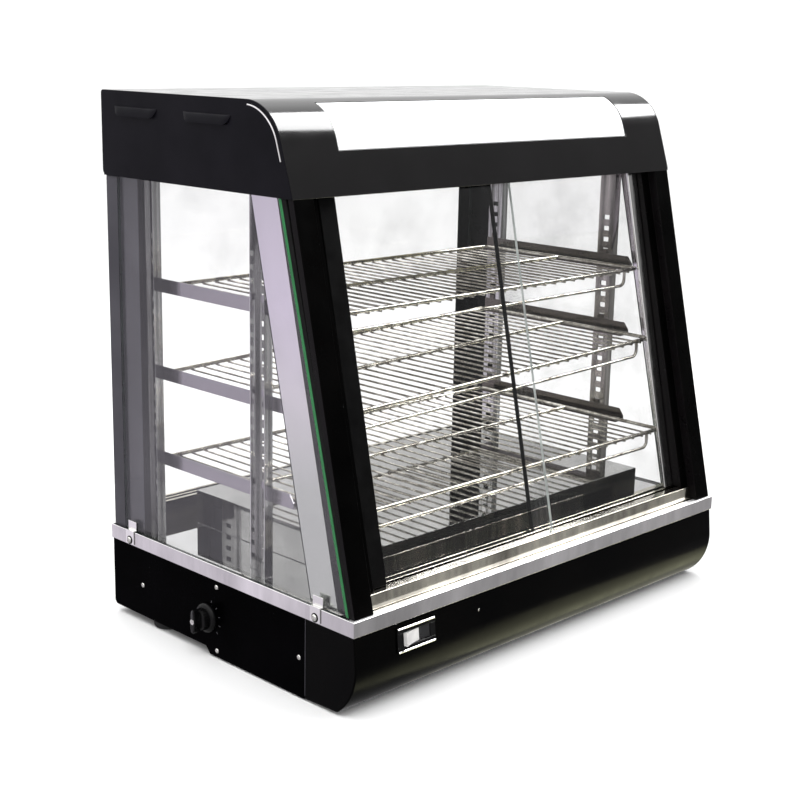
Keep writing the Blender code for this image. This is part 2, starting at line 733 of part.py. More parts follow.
def leaf(pane_x, pull_x, track_y, z_range, pull_z, slope, outward, names, travel_start, pull_mat):
    """A sliding glass door: its pane, and the strip on its outer edge that serves as a pull."""
    half = PANE / 2
    pane = box_mesh((pane_x[0], track_y - half, z_range[0]), (pane_x[1], track_y + half, z_range[1]))
    pane_obj = bevelled(add(names[0], lean(pane, slope), GLASS), 0.0003, 1)

    # plan of the pull: flat on the pane's outside, and turned round the pane's edge
    edge_side = 1 if pull_x[1] > 0 else -1
    inner, outer = (abs(x) for x in sorted(pull_x, key=abs))
    pane_edge = max(abs(x) for x in pane_x) + GAP
    face = outward * (half + GAP)
    plan = [
        (inner, track_y + face),
        (inner, track_y + outward * PULL_FRONT),
        (outer, track_y + outward * PULL_FRONT),
        (outer, track_y - outward * half),
        (pane_edge, track_y - outward * half),
        (pane_edge, track_y + face),
    ]
    placed = [(edge_side * x, y) for x, y in plan]
    pull = outline_mesh(placed, *pull_z, "Z")
    pull_obj = bevelled(add(names[1], lean(pull, slope), pull_mat), 0.0006, 1)

    slide = bpy.data.objects.new(names[2], None)
    slide.empty_display_size = 0.05
    PIECES.objects.link(slide)
    slide.location = travel_start
    for obj in (pane_obj, pull_obj):
        obj.parent = slide
        obj.matrix_parent_inverse = Matrix.Translation([-c for c in travel_start])


def front_doors():
    z_range = (FRONT_PANE_LOW, FRONT_PANE_TOP)
    pull_z = (FRONT_PULL_LOW, FRONT_PULL_TOP)
    for side, word, edge, track_y, pull_mat in (
        (-1, "left", LEFT_DOOR_EDGE, DOOR_Y, BLACK_PLASTIC),
        (1, "right", RIGHT_DOOR_EDGE, DOOR_Y + TRACK_PITCH, ALUMINIUM),
    ):
        leaf(
            sorted((side * FRONT_DOOR_OUT, edge)),
            span(side, FRONT_PULL_INS[word], FRONT_PULL_OUT),
            track_y,
            z_range,
            pull_z,
            DOOR_LEAN,
            -1,
            (f"front_door_glass_{word}", f"front_door_pull_{word}", f"front_door_{word}_slide"),
            (side * FRONT_DOOR_OUT, track_y, LEAN_Z),
            pull_mat,
        )


def rear_doors():
    z_range = (REAR_PANE_LOW, FRONT_PANE_TOP)
    pull_z = (REAR_SILL_TOP + GAP, FRONT_PULL_TOP)
    for side, word, track_y in ((-1, "left", REAR_TRACK_Y), (1, "right", REAR_TRACK_Y + TRACK_PITCH)):
        leaf(
            sorted((side * REAR_DOOR_OUT, -side * REAR_DOOR_EDGE)),
            span(side, REAR_PULL_IN, REAR_PULL_OUT),
            track_y,
            z_range,
            pull_z,
            0,
            1,
            (f"rear_door_glass_{word}", f"rear_door_pull_{word}", f"rear_door_{word}_slide"),
            (side * REAR_DOOR_OUT, track_y, LEAN_Z),
            BLACK_PLASTIC,
        )


# ---------------------------------------------------------------- hood


def hood_front(inset, start=0.0, tail=None):
    """The rolled front in Y, Z, from an angle on the curve to the end of its straight lower part."""
    steps = 14
    r = CURVE_R - inset
    points = []
    for i in range(steps + 1):
        turn = start + (CURVE_TURN - start) * i / steps
        points.append((CURVE_Y - r * math.sin(turn), CURVE_Z + r * math.cos(turn)))
    y, z = points[-1]
    length = (z - HOOD_LOW) / math.sin(CURVE_TURN) if tail is None else tail
    points.append((y - length * math.cos(CURVE_TURN), z - length * math.sin(CURVE_TURN)))
    return points


def hood_section(inset):
    """The hood's section from the bottom of its back, over the top, to the bottom of its front."""
    back, top = HOOD_BACK_Y - inset, HOOD_TOP - inset
    return [(back, HOOD_LOW), (back, top - HOOD_CORNER), (back - HOOD_CORNER, top), *hood_front(inset)]


def sign_outline(inset, thickness, margin):
    """The sign panel's section, or its opening's when it has a margin."""
    swing = margin / CURVE_R
    outer = hood_front(inset, SIGN_START - swing, SIGN_TAIL + margin)
    inner = hood_front(inset + thickness, SIGN_START - swing, SIGN_TAIL + margin)
    return outer + inner[::-1]


def hood_cover():
    half = HOOD_HALF_W - SHEET - GAP
    shell = outline_mesh(hood_section(0) + hood_section(SHEET)[::-1], -half, half, "X")
    open_half = SIGN_HALF_W + SIGN_MARGIN
    opening = outline_mesh(sign_outline(-0.005, 0.015, SIGN_MARGIN), -open_half, open_half, "X")
    add("hood_cover", cut(shell, opening), BLACK_PAINT)


def hood_side(side, name):
    outline = hood_section(0)
    y, z = outline.pop()
    corner = 0.005
    outline += [(y + corner / math.tan(CURVE_TURN), z + corner), (y + 0.0027, z + 0.0015), (y + 0.006, z)]
    plate = outline_mesh(outline, *span(side, HOOD_HALF_W - SHEET, HOOD_HALF_W), "X")
    bevelled(add(name, plate, BLACK_PAINT), 0.0005, 1, angle=60)


def sign_panel():
    panel = outline_mesh(sign_outline(GAP, SIGN_T, 0), -SIGN_HALF_W, SIGN_HALF_W, "X")
    add("sign_panel", panel, SIGN_WHITE)


def hood_ceiling():
    """The plate that closes the chamber, with the top guides of both pairs of doors."""
    half = GLASS_IN - GAP
    plate = box_mesh((-half, -0.0835, CEILING_Z), (half, 0.196, CEILING_Z + CEILING_T))
    front_block = box_mesh((-half, -0.1025, CEILING_Z - 0.0001), (half, -0.0815, GUIDE_TOP))
    rear_block = box_mesh((-half, 0.1945, CEILING_Z - 0.0001), (half, 0.2150, GUIDE_TOP))
    whole = union(plate, front_block, rear_block)
    top = FRONT_PANE_TOP + 0.0015
    grooves = []
    for track_y, slope in (
        (DOOR_Y, DOOR_LEAN),
        (DOOR_Y + TRACK_PITCH, DOOR_LEAN),
        (REAR_TRACK_Y, 0),
        (REAR_TRACK_Y + TRACK_PITCH, 0),
    ):
        half_groove = GROOVE_W / 2
        cutter = box_mesh((-0.4, track_y - half_groove, 0.5), (0.4, track_y + half_groove, top))
        grooves.append(lean(cutter, slope))
    add("hood_ceiling", cut(whole, *grooves), ALUMINIUM)


def lamp_tube():
    """A lamp with a metal cap at each end, lying along X behind the sign panel."""
    pin_r, pin, cap = 0.004, 0.005, 0.018
    end = LAMP_HALF_W - pin
    profile = [(0.0, LAMP_HALF_W), (pin_r, LAMP_HALF_W), (pin_r, end), (LAMP_R, end)]
    profile += [(LAMP_R, LAMP_HALF_W - cap), (LAMP_R - 0.0005, LAMP_HALF_W - cap)]
    profile += [(r, -x) for r, x in reversed(profile)]
    bm = bmesh.new()
    verts = [bm.verts.new((r, 0, x)) for r, x in profile]
    for a, b in zip(verts, verts[1:]):
        bm.edges.new((a, b))
    mesh = bpy.data.meshes.new("lamp_tube")
    bm.to_mesh(mesh)
    bm.free()
    lamp = add("lamp_tube", mesh, LAMP_WHITE)
    screw = lamp.modifiers.new("turned", "SCREW")
    screw.axis = "Z"
    screw.steps = screw.render_steps = 24
    screw.use_merge_vertices = True
    screw.merge_threshold = 0.00001
    lamp.location = (0, LAMP_Y, LAMP_Z)
    lamp.rotation_euler = (0, math.pi / 2, 0)


# ---------------------------------------------------------------- controls and cord


def thermostat_knob():
    """Skirt, body and grip bar on a shaft that passes through the side panel."""
    outside = -HALF_W - 0.0008

    def disc(radius, start, end, end_radius=None):
        return cylinder_mesh(radius, (start, KNOB_Y, KNOB_Z), (end, KNOB_Y, KNOB_Z), 40, end_radius)

    skirt = disc(KNOB_R, outside, outside - 0.0035, KNOB_R - 0.0015)
    body = disc(KNOB_BODY_R, outside - 0.003, outside - KNOB_DEPTH, KNOB_BODY_R - 0.0015)
    grip_low = (outside - GRIP_DEPTH, KNOB_Y - GRIP_HALF_W, KNOB_Z - GRIP_HALF_H)
    grip = box_mesh(grip_low, (outside - 0.0025, KNOB_Y + GRIP_HALF_W, KNOB_Z + GRIP_HALF_H))
    shaft = disc(SHAFT_R, outside + 0.018, outside - 0.002)
    knob = add("thermostat_knob", union(skirt, body, grip, shaft), BLACK_PLASTIC)
    with_origin(knob, (outside, KNOB_Y, KNOB_Z))
    bevelled(knob, 0.0007, 2)


def thermostat_body():
    low, high = -HALF_W + SHEET + GAP, -0.303
    half = 0.018
    case = box_mesh((low, KNOB_Y - half, KNOB_Z - half), (high, KNOB_Y + half, KNOB_Z + half))
    bore = cylinder_mesh(SHAFT_R + 0.0006, (low - 0.01, KNOB_Y, KNOB_Z), (-0.310, KNOB_Y, KNOB_Z), 24)
    add("thermostat_body", cut(case, bore), DARK_STEEL)


def on_fascia():
    """Places a switch piece, drawn with X across, -Y outward and Z up, on the fascia's slope."""
    slope_y = FACE_Y + (BULGE_Y - FACE_Y) * (SWITCH_Z - BASE_TOP) / (BULGE_Z - BASE_TOP)
    return Matrix.Translation((SWITCH_X, slope_y, SWITCH_Z)) @ Matrix.Rotation(-SWITCH_LEAN, 4, "X")


def rocker_bezel():
    frame = box_mesh((-0.0290, -0.0025, -0.0140), (0.0290, -GAP, 0.0140))
    housing = box_mesh((-0.0226, -0.0015, -0.0090), (0.0226, 0.0160, 0.0090))
    pocket = box_mesh((-0.0212, -0.0100, -0.0078), (0.0212, 0.0140, 0.0078))
    mesh = cut(union(frame, housing), pocket)
    mesh.transform(on_fascia())
    bevelled(add("rocker_bezel", mesh, BLACK_PLASTIC), 0.0004, 1)


def rocker_button():
    """A bent rocker that pivots about the middle of its housing, resting with its right half in."""
    section = [
        (-0.019, -0.0036),
        (0.0, -0.0012),
        (0.019, -0.0036),
        (0.019, 0.001),
        (0.011, 0.008),
        (-0.011, 0.008),
        (-0.019, 0.001),
    ]
    around_pivot = [(x, y - PIVOT_DEPTH) for x, y in section]
    mesh = outline_mesh(around_pivot, -0.0073, 0.0073, "Z")
    pivot = on_fascia() @ Matrix.Translation((0, PIVOT_DEPTH, 0))
    mesh.transform(pivot @ Matrix.Rotation(ROCKER_REST, 4, "Z"))
    button = bevelled(add("rocker_button", mesh, SWITCH_GREY), 0.0004, 1)
    with_origin(button, tuple(pivot.translation))


def power_cord():
    """A supply cord that leaves the back panel, drops to the counter and ends in a plug."""
    lie_z = CORD_R + 0.001
    corners = [
        (CORD_X, BACK_Y - 0.012, CORD_Z),
        (CORD_X, CORD_RUN_Y, CORD_Z),
        (CORD_X, CORD_RUN_Y, lie_z + 0.008),
        (CORD_X - 0.03, CORD_RUN_Y, lie_z),
        (CORD_X - 0.20, CORD_RUN_Y, lie_z),
    ]
    cable = tube_mesh(rounded_path(corners, 0.008), CORD_R)
    gland_r = CORD_R + 0.005
    gland = cylinder_mesh(gland_r, (CORD_X, BACK_Y + GAP, CORD_Z), (CORD_X, BACK_Y + 0.008, CORD_Z), 20)
    plug_x = CORD_X - 0.195
    plug_low = (plug_x - PLUG_L, CORD_RUN_Y - PLUG_HALF_W, PLUG_LOW_Z)
    plug = box_mesh(plug_low, (plug_x, CORD_RUN_Y + PLUG_HALF_W, PLUG_TOP_Z))
    add("power_cord", union(cable, gland, plug), BLACK_PLASTIC)


# ---------------------------------------------------------------- assembly


def stand_on_origin():
    """Parents every piece to one empty, which puts the origin under the middle of the overall box."""
    bpy.context.view_layer.update()
    graph = bpy.context.evaluated_depsgraph_get()
    free = [obj for obj in PIECES.objects if obj.parent is None]
    solids = [obj for obj in PIECES.objects if obj.type == "MESH"]
    corners = [obj.matrix_world @ Vector(c) for obj in solids for c in obj.evaluated_get(graph).bound_box]
    low, high = ([pick(c[i] for c in corners) for i in range(3)] for pick in (min, max))
    root = bpy.data.objects.new("cabinet_root", None)
    PIECES.objects.link(root)
    root.location = (-(low[0] + high[0]) / 2, -(low[1] + high[1]) / 2, -low[2])
    for obj in free:
        obj.parent = root


clear_scene()
PIECES = collection("food_holding_cabinet")
TOOLS = collection("cutters")

BLACK_PAINT = material("black_paint", (0.012, 0.012, 0.013), 0.25)
BLACK_PLASTIC = material("black_plastic", (0.015, 0.015, 0.016), 0.45)
RUBBER = material("rubber", (0.02, 0.02, 0.02), 0.8)
STAINLESS = material("stainless", (0.62, 0.61, 0.60), 0.18, 1.0)
ALUMINIUM = material("aluminium", (0.68, 0.68, 0.68), 0.2, 1.0)
MIRROR_STEEL = material("mirror_steel", (0.66, 0.66, 0.66), 0.05, 1.0)
DARK_STEEL = material("dark_steel", (0.25, 0.24, 0.23), 0.4, 1.0)
CHROME = material("chrome", (0.75, 0.74, 0.70), 0.12, 1.0)
GLASS = material("glass", (0.80, 0.92, 0.87), 0.02, 0.0, 0.25)
SIGN_WHITE = material("sign_white", (0.90, 0.90, 0.90), 0.35)
LAMP_WHITE = material("lamp_white", (0.95, 0.95, 0.93), 0.3)
SWITCH_GREY = material("switch_grey", (0.55, 0.55, 0.55), 0.35)

front_fascia()
base_back()
bottom_plate()
trim_band()
chamber_floor()
front_sill()
rear_sill()
heat_deck()
water_tray()
heating_element()
for word, side in SIDES.items():
    base_side(side, f"base_side_{word}")
    front_post(side, f"front_post_{word}")
    rear_post(side, f"rear_post_{word}")
    front_trim(side, f"front_trim_{word}")
    side_glass(side, f"side_glass_{word}")
    hood_side(side, f"hood_side_{word}")
    for place, foot_y in FOOT_YS.items():
        foot(f"foot_{place}_{word}", side * FOOT_X, foot_y)
    for place, clip_y in CLIP_YS.items():
        glass_clip(side, clip_y, f"glass_clip_{place}_{word}")
    for place, upright_y in UPRIGHT_YS.items():
        upright(side, upright_y, f"upright_{place}_{word}")
    for height, level in SHELVES.items():
        shelf_bracket(side, level[word], f"shelf_bracket_{height}_{word}")
for height, level in SHELVES.items():
    wire_shelf(level, f"wire_shelf_{height}")
front_doors()
rear_doors()
hood_cover()
sign_panel()
hood_ceiling()
lamp_tube()
thermostat_knob()
thermostat_body()
rocker_bezel()
rocker_button()
power_cord()
stand_on_origin()
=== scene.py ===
"""Looks, floor, light and camera for the countertop heated display cabinet."""

import json
from math import acos, asin, atan2, cos, pi, radians, sin, tan

import bmesh
import bpy
from mathutils import Matrix, Vector


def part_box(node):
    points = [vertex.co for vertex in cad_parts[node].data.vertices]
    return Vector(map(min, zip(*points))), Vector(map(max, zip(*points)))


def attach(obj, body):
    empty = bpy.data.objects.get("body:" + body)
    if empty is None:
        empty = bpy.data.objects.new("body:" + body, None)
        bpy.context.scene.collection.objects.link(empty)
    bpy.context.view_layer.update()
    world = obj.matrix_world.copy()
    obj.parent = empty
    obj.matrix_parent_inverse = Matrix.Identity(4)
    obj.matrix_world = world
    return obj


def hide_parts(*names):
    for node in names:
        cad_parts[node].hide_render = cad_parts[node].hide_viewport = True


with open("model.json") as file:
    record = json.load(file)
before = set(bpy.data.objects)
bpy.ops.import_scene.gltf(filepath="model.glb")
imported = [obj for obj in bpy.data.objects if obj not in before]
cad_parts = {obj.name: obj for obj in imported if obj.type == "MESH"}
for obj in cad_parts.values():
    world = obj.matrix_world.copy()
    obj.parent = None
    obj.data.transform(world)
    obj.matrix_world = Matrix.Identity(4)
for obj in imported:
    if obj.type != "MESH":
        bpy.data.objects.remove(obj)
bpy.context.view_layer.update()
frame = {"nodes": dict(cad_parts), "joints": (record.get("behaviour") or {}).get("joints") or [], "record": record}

# Every place below is measured from the middle of the base, which is the middle of its trim band.
BAND_LOW, BAND_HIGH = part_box("trim_band")
BASE = Vector(((BAND_LOW.x + BAND_HIGH.x) / 2, (BAND_LOW.y + BAND_HIGH.y) / 2, 0))
GAP = 0.0003
SIDES = {"left": -1, "right": 1}
SLOTS = {row["node"]: row["material_slot"] for row in frame["record"]["subparts"]}


def box_of(node):
    low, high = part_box(node)
    return low - BASE, high - BASE


# ---- materials


class Nodes:
    """A node tree, with short names for the nodes that are used most."""

    def __init__(self, tree):
        self.tree = tree

    def node(self, kind, **inputs):
        made = self.tree.nodes.new(kind)
        for socket, value in inputs.items():
            self.feed(made.inputs[socket.replace("_", " ")], value)
        return made

    def feed(self, socket, value):
        if isinstance(value, bpy.types.NodeSocket):
            self.tree.links.new(value, socket)
        else:
            socket.default_value = value

    def maths(self, operation, first, second=0.0):
        made = self.node("ShaderNodeMath")
        made.operation = operation
        self.feed(made.inputs[0], first)
        self.feed(made.inputs[1], second)
        return made.outputs[0]

    def dot(self, vector, other):
        made = self.node("ShaderNodeVectorMath", Vector=vector)
        made.operation = "DOT_PRODUCT"
        made.inputs[1].default_value = other
        return made.outputs["Value"]

    def mix_colour(self, fac, first, second):
        made = self.node("ShaderNodeMix")
        made.data_type = "RGBA"
        for socket, value in ((0, fac), (6, first), (7, second)):  # 6, 7 and output 2 are its colours
            self.feed(made.inputs[socket], value)
        return made.outputs[2]

    def spread(self, fac, low, high, start=0.0, end=1.0):
        """A number that runs from low to high as fac runs from start to end."""
        limits = {"From_Min": start, "From_Max": end, "To_Min": low, "To_Max": high}
        return self.node("ShaderNodeMapRange", Value=fac, **limits).outputs[0]

    def ramp(self, fac, *stops):
        made = self.node("ShaderNodeValToRGB", Fac=fac)
        elements = made.color_ramp.elements
        while len(elements) < len(stops):
            elements.new(0.5)
        for element, (at, colour) in zip(elements, stops):
            element.position = at
            element.color = (*colour, 1.0)
        return made.outputs["Color"]


class Look(Nodes):
    """A Principled material and the nodes that give it its pattern."""

    def __init__(self, name, colour, roughness, metallic=0.0, **inputs):
        self.material = bpy.data.materials.new("look_" + name)
        self.material.use_nodes = True
        super().__init__(self.material.node_tree)
        self.shader = self.tree.nodes["Principled BSDF"]
        self.set("Base Color", (*colour, 1.0))
        self.set("Roughness", roughness)
        self.set("Metallic", metallic)
        for socket, value in inputs.items():
            self.set(socket.replace("_", " "), value)
        self.place = self.node("ShaderNodeTexCoord").outputs["Object"]

    def set(self, socket, value):
        self.feed(self.shader.inputs[socket], value)

    def noise(self, scale, detail=4.0, stretch=(1, 1, 1), rough=0.5):
        mapping = self.node("ShaderNodeMapping", Vector=self.place, Scale=stretch)
        inputs = {"Scale": scale, "Detail": detail, "Roughness": rough}
        return self.node("ShaderNodeTexNoise", Vector=mapping.outputs[0], **inputs).outputs["Fac"]

    def tone(self, fac, *stops):
        self.set("Base Color", self.ramp(fac, *stops))

    def gloss(self, fac, *limits):
        self.set("Roughness", self.spread(fac, *limits))

    def along(self, axis):
        """How far along an axis a point lies, 0 at one end of the object and 1 at the other."""
        return self.dot(self.node("ShaderNodeTexCoord").outputs["Generated"], axis)

    def facing(self, axis, start, end):
        """1 on the faces that look along an axis, either way, and 0 on the others."""
        normal = self.node("ShaderNodeNewGeometry").outputs["Normal"]
        return self.spread(self.maths("ABSOLUTE", self.dot(normal, axis)), 0.0, 1.0, start, end)

    def source(self, socket):
        """What feeds one of the shader's inputs."""
        return self.shader.inputs[socket].links[0].from_socket

    def bump(self, fac, distance, strength):
        made = self.node("ShaderNodeBump", Height=fac, Distance=distance, Strength=strength)
        if self.shader.inputs["Normal"].is_linked:
            self.feed(made.inputs["Normal"], self.source("Normal"))
        self.set("Normal", made.outputs[0])


def paint(name, dark, light, specular, roughness):
    """Black powder coat: orange peel, and a faint bloom of dust."""
    look = Look(name, dark, roughness, Specular_IOR_Level=specular)
    look.tone(look.noise(14, 6), (0.35, dark), (0.7, light))
    look.gloss(look.noise(30, 5), roughness * 0.7, roughness * 1.3, 0.3, 0.75)
    look.bump(look.noise(520, 2), 0.00008, 0.35)
    return look


def facing_light_and_shade(look, axis, dark, light, sheen):
    """Paints light and shade into a paint: other tones on the faces that look along an axis; sheen is (rest,
    those).
    """
    tone = look.ramp(look.noise(14, 6), (0.35, dark), (0.7, light))
    facing = look.facing(axis, 0.4, 0.9)
    look.set("Base Color", look.mix_colour(facing, look.source("Base Color"), tone))
    look.set("Specular IOR Level", look.spread(facing, *sheen))
    return look


def post_paint(name, specular, roughness, *tones):
    """Black paint of a corner post, in two tones that are painted light and shade by face direction."""
    look = paint(name, (0.0026, 0.0022, 0.0025), (0.0046, 0.0039, 0.0043), specular, roughness)
    return facing_light_and_shade(look, *tones)


def steel(name, colour, roughness, brush, streak=0.12, shade=0.16, patch=(9, None)):
    """Stainless sheet: brushed along one axis, with its tone in patches; strong patches are painted reflections.
    """
    look = Look(name, colour, roughness, 1.0)
    fine = look.noise(240, 3, brush)
    broad = look.noise(patch[0], 4, patch[1] or brush, 0.6)
    dark = tuple(c * (1 - shade) for c in colour)
    light = tuple(min(1, c * (1 + shade * 0.6)) for c in colour)
    look.tone(broad, (0.3, dark), (0.72, light))
    smooth, rough = roughness * (1 - streak * 3), roughness * (1 + streak * 3)
    look.gloss(fine, smooth, rough, 0.3, 0.7)
    look.bump(fine, 0.00002, 0.02)
    look.bump(look.noise(5, 1), 0.0001, 0.25)
    return look


def band():
    """The trim band: brushed on its sides, with patches of painted reflection; duller on its ledge, and paler
    there as painted light.
    """
    look = steel("stainless_band", (0.74, 0.72, 0.73), 0.15, ALONG_X, 0.04, 0.30, (14, UPRIGHT_SPOTS))
    upward = look.dot(look.node("ShaderNodeNewGeometry").outputs["Normal"], (0, 0, 1))
    ledge = look.spread(upward, 0.0, 1.0, 0.6, 0.9)
    # The ledge's near-white tone is painted light from above.
    pale = look.ramp(look.noise(20, 4, ALONG_X), (0.3, (0.86, 0.85, 0.86)), (0.7, (0.98, 0.98, 0.98)))
    look.set("Base Color", look.mix_colour(ledge, look.source("Base Color"), pale))
    blend = look.node("ShaderNodeMix", Factor=ledge)
    look.feed(blend.inputs[2], look.source("Roughness"))
    look.feed(blend.inputs[3], 0.5)
    look.set("Roughness", blend.outputs[0])
    return look


def trim():
    """The side trims: brushed steel, with a painted reflection that is lilac above and greyer towards the base."""
    look = steel("stainless_trim", (0.88, 0.83, 0.92), 0.2, ALONG_Z, 0.04)
    uneven = look.spread(look.noise(7, 4, (1, 1, 0.4)), -0.1, 0.1)
    height = look.maths("ADD", look.along((0, 0, 1)), uneven)
    # Tones by height: a painted reflection.
    grey, pale, lilac = (0.61, 0.64, 0.595), (0.815, 0.80, 0.81), (0.88, 0.83, 0.92)
    look.tone(height, (0.27, grey), (0.5, pale), (0.75, lilac))
    return look


def lit_bracket():
    """The left shelf rails, painted pale where they catch the light, with painted shade at their rear ends."""
    look = steel("lit_bracket", (0.42, 0.40, 0.435), 0.2, ALONG_Y, shade=0.3)
    shaded_rear_end = look.spread(look.along((0, 1, 0)), 0.0, 1.0, 0.76, 0.80)
    dark = (0.06, 0.057, 0.062, 1.0)
    look.set("Base Color", look.mix_colour(shaded_rear_end, look.source("Base Color"), dark))
    return look


def deck():
    """The heated deck: a bright top, and a front and back painted near black as a painted reflection of the dark
    interior.
    """
    look = steel("deck_steel", (0.46, 0.46, 0.45), 0.035, ALONG_X, 0.04, 0.2)
    smudged_reflection = look.noise(30, 3, UPRIGHT_SPOTS)
    # Painted reflection on the front and back, uneven with smudges.
    painted_dark_reflection = look.ramp(smudged_reflection, (0.3, (0.012, 0.012, 0.010)), (0.7, (0.034, 0.033, 0.028)))
    front = look.facing((0, 1, 0), 0.3, 0.9)
    look.set("Base Color", look.mix_colour(front, look.source("Base Color"), painted_dark_reflection))
    return look


def wire():
    """Bright-plated wire, a little warm, with duller patches."""
    look = Look("chrome_wire", (0.70, 0.68, 0.62), 0.2, 1.0)
    patches = look.noise(60, 4)
    look.tone(patches, (0.3, (0.20, 0.18, 0.145)), (0.62, (0.66, 0.64, 0.585)))
    look.gloss(patches, 0.30, 0.14, 0.3, 0.7)
    look.bump(look.noise(900, 2), 0.00003, 0.3)
    return look


def plastic(name, colour, roughness, grain=1400, specular=0.4):
    """Moulded plastic with a fine grain."""
    look = Look(name, colour, roughness, Specular_IOR_Level=specular)
    lighter = tuple(min(1, c * 1.35 + 0.002) for c in colour)
    look.tone(look.noise(40, 5), (0.35, colour), (0.75, lighter))
    look.gloss(look.noise(90, 3), roughness * 0.85, roughness * 1.2, 0.3, 0.7)
    look.bump(look.noise(grain, 2), 0.00005, 0.6)
    return look


def glass(name, thin_axis, edge=(0.010, 0.014, 0.013), clarity=0.988, smear=0.965):
    """Clear sheet seen through its faces and dark through its cut edges, with a faint film."""
    look = Look(name, edge, 0.12)
    glancing = look.node("ShaderNodeLayerWeight", Blend=0.5).outputs["Facing"]
    fresnel = look.spread(look.maths("POWER", glancing, 5.0), 0.04, 1.0)
    film = look.spread(look.noise(6, 6, rough=0.65), 0.0, 0.03, 0.45, 0.9)
    smears = look.ramp(look.noise(11, 5, rough=0.6), (0.45, (clarity,) * 3), (0.75, (smear,) * 3))
    clear = look.node("ShaderNodeBsdfTransparent", Color=smears)
    silver = (0.94, 0.95, 0.96, 1)
    shine = look.node("ShaderNodeBsdfPrincipled", Base_Color=silver, Metallic=1.0, Roughness=0.015)
    sheet = look.node("ShaderNodeMixShader", Fac=look.maths("ADD", fresnel, film))
    look.feed(sheet.inputs[1], clear.outputs[0])
    look.feed(sheet.inputs[2], shine.outputs[0])

    look.tone(look.noise(25, 3), (0.3, edge), (0.7, tuple(c * 2 for c in edge)))
    whole = look.node("ShaderNodeMixShader", Fac=look.facing(thin_axis, 0.5, 0.6))
    look.feed(whole.inputs[1], look.shader.outputs[0])
    look.feed(whole.inputs[2], sheet.outputs[0])
    look.feed(look.tree.nodes["Material Output"].inputs["Surface"], whole.outputs[0])
    return look


def opal():
    """White sheet of the sign panel, with a faint painted glow."""
    look = Look("sign_white", (0.86, 0.87, 0.88), 0.22, Subsurface_Weight=0.15, Coat_Weight=0.3)
    cool, warm = (0.84, 0.86, 0.88), (0.91, 0.91, 0.91)
    look.tone(look.noise(5, 3), (0.3, cool), (0.7, warm))
    look.set("Subsurface Radius", (0.004, 0.004, 0.004))
    look.gloss(look.noise(40, 3), 0.18, 0.3, 0.3, 0.7)
    # A faint painted glow.
    look.set("Emission Color", (0.96, 0.97, 1.0, 1))
    look.set("Emission Strength", 0.12)
    return look


def scorched():
    """Heater sheath: steel turned brown and blue by heat."""
    look = Look("dark_steel", (0.2, 0.18, 0.16), 0.38, 1.0)
    brown, straw, blue = (0.10, 0.075, 0.06), (0.23, 0.19, 0.15), (0.16, 0.17, 0.22)
    look.tone(look.noise(22, 4), (0.3, brown), (0.5, straw), (0.7, blue))
    look.bump(look.noise(500, 3), 0.00006, 0.5)
    return look


# How far the pattern of a sheet is drawn out along each axis; a patch adds its scale.
ALONG_X, ALONG_Y, ALONG_Z, EVEN = (0.03, 1, 1), (1, 0.03, 1), (1, 1, 0.03), (1, 1, 1)
UPRIGHT_SPOTS = (1, 1, 0.3)
# Near-black tones for the faces of a post that look forwards and backwards: painted shade.
SHADED_FACE_TONES = (0.0004, 0.0004, 0.0004), (0.0012, 0.0011, 0.0011)
# Slate-grey tones for faces that look sideways: painted light.
LIT_SIDE_TONES = (0.030, 0.029, 0.036), (0.045, 0.043, 0.052)
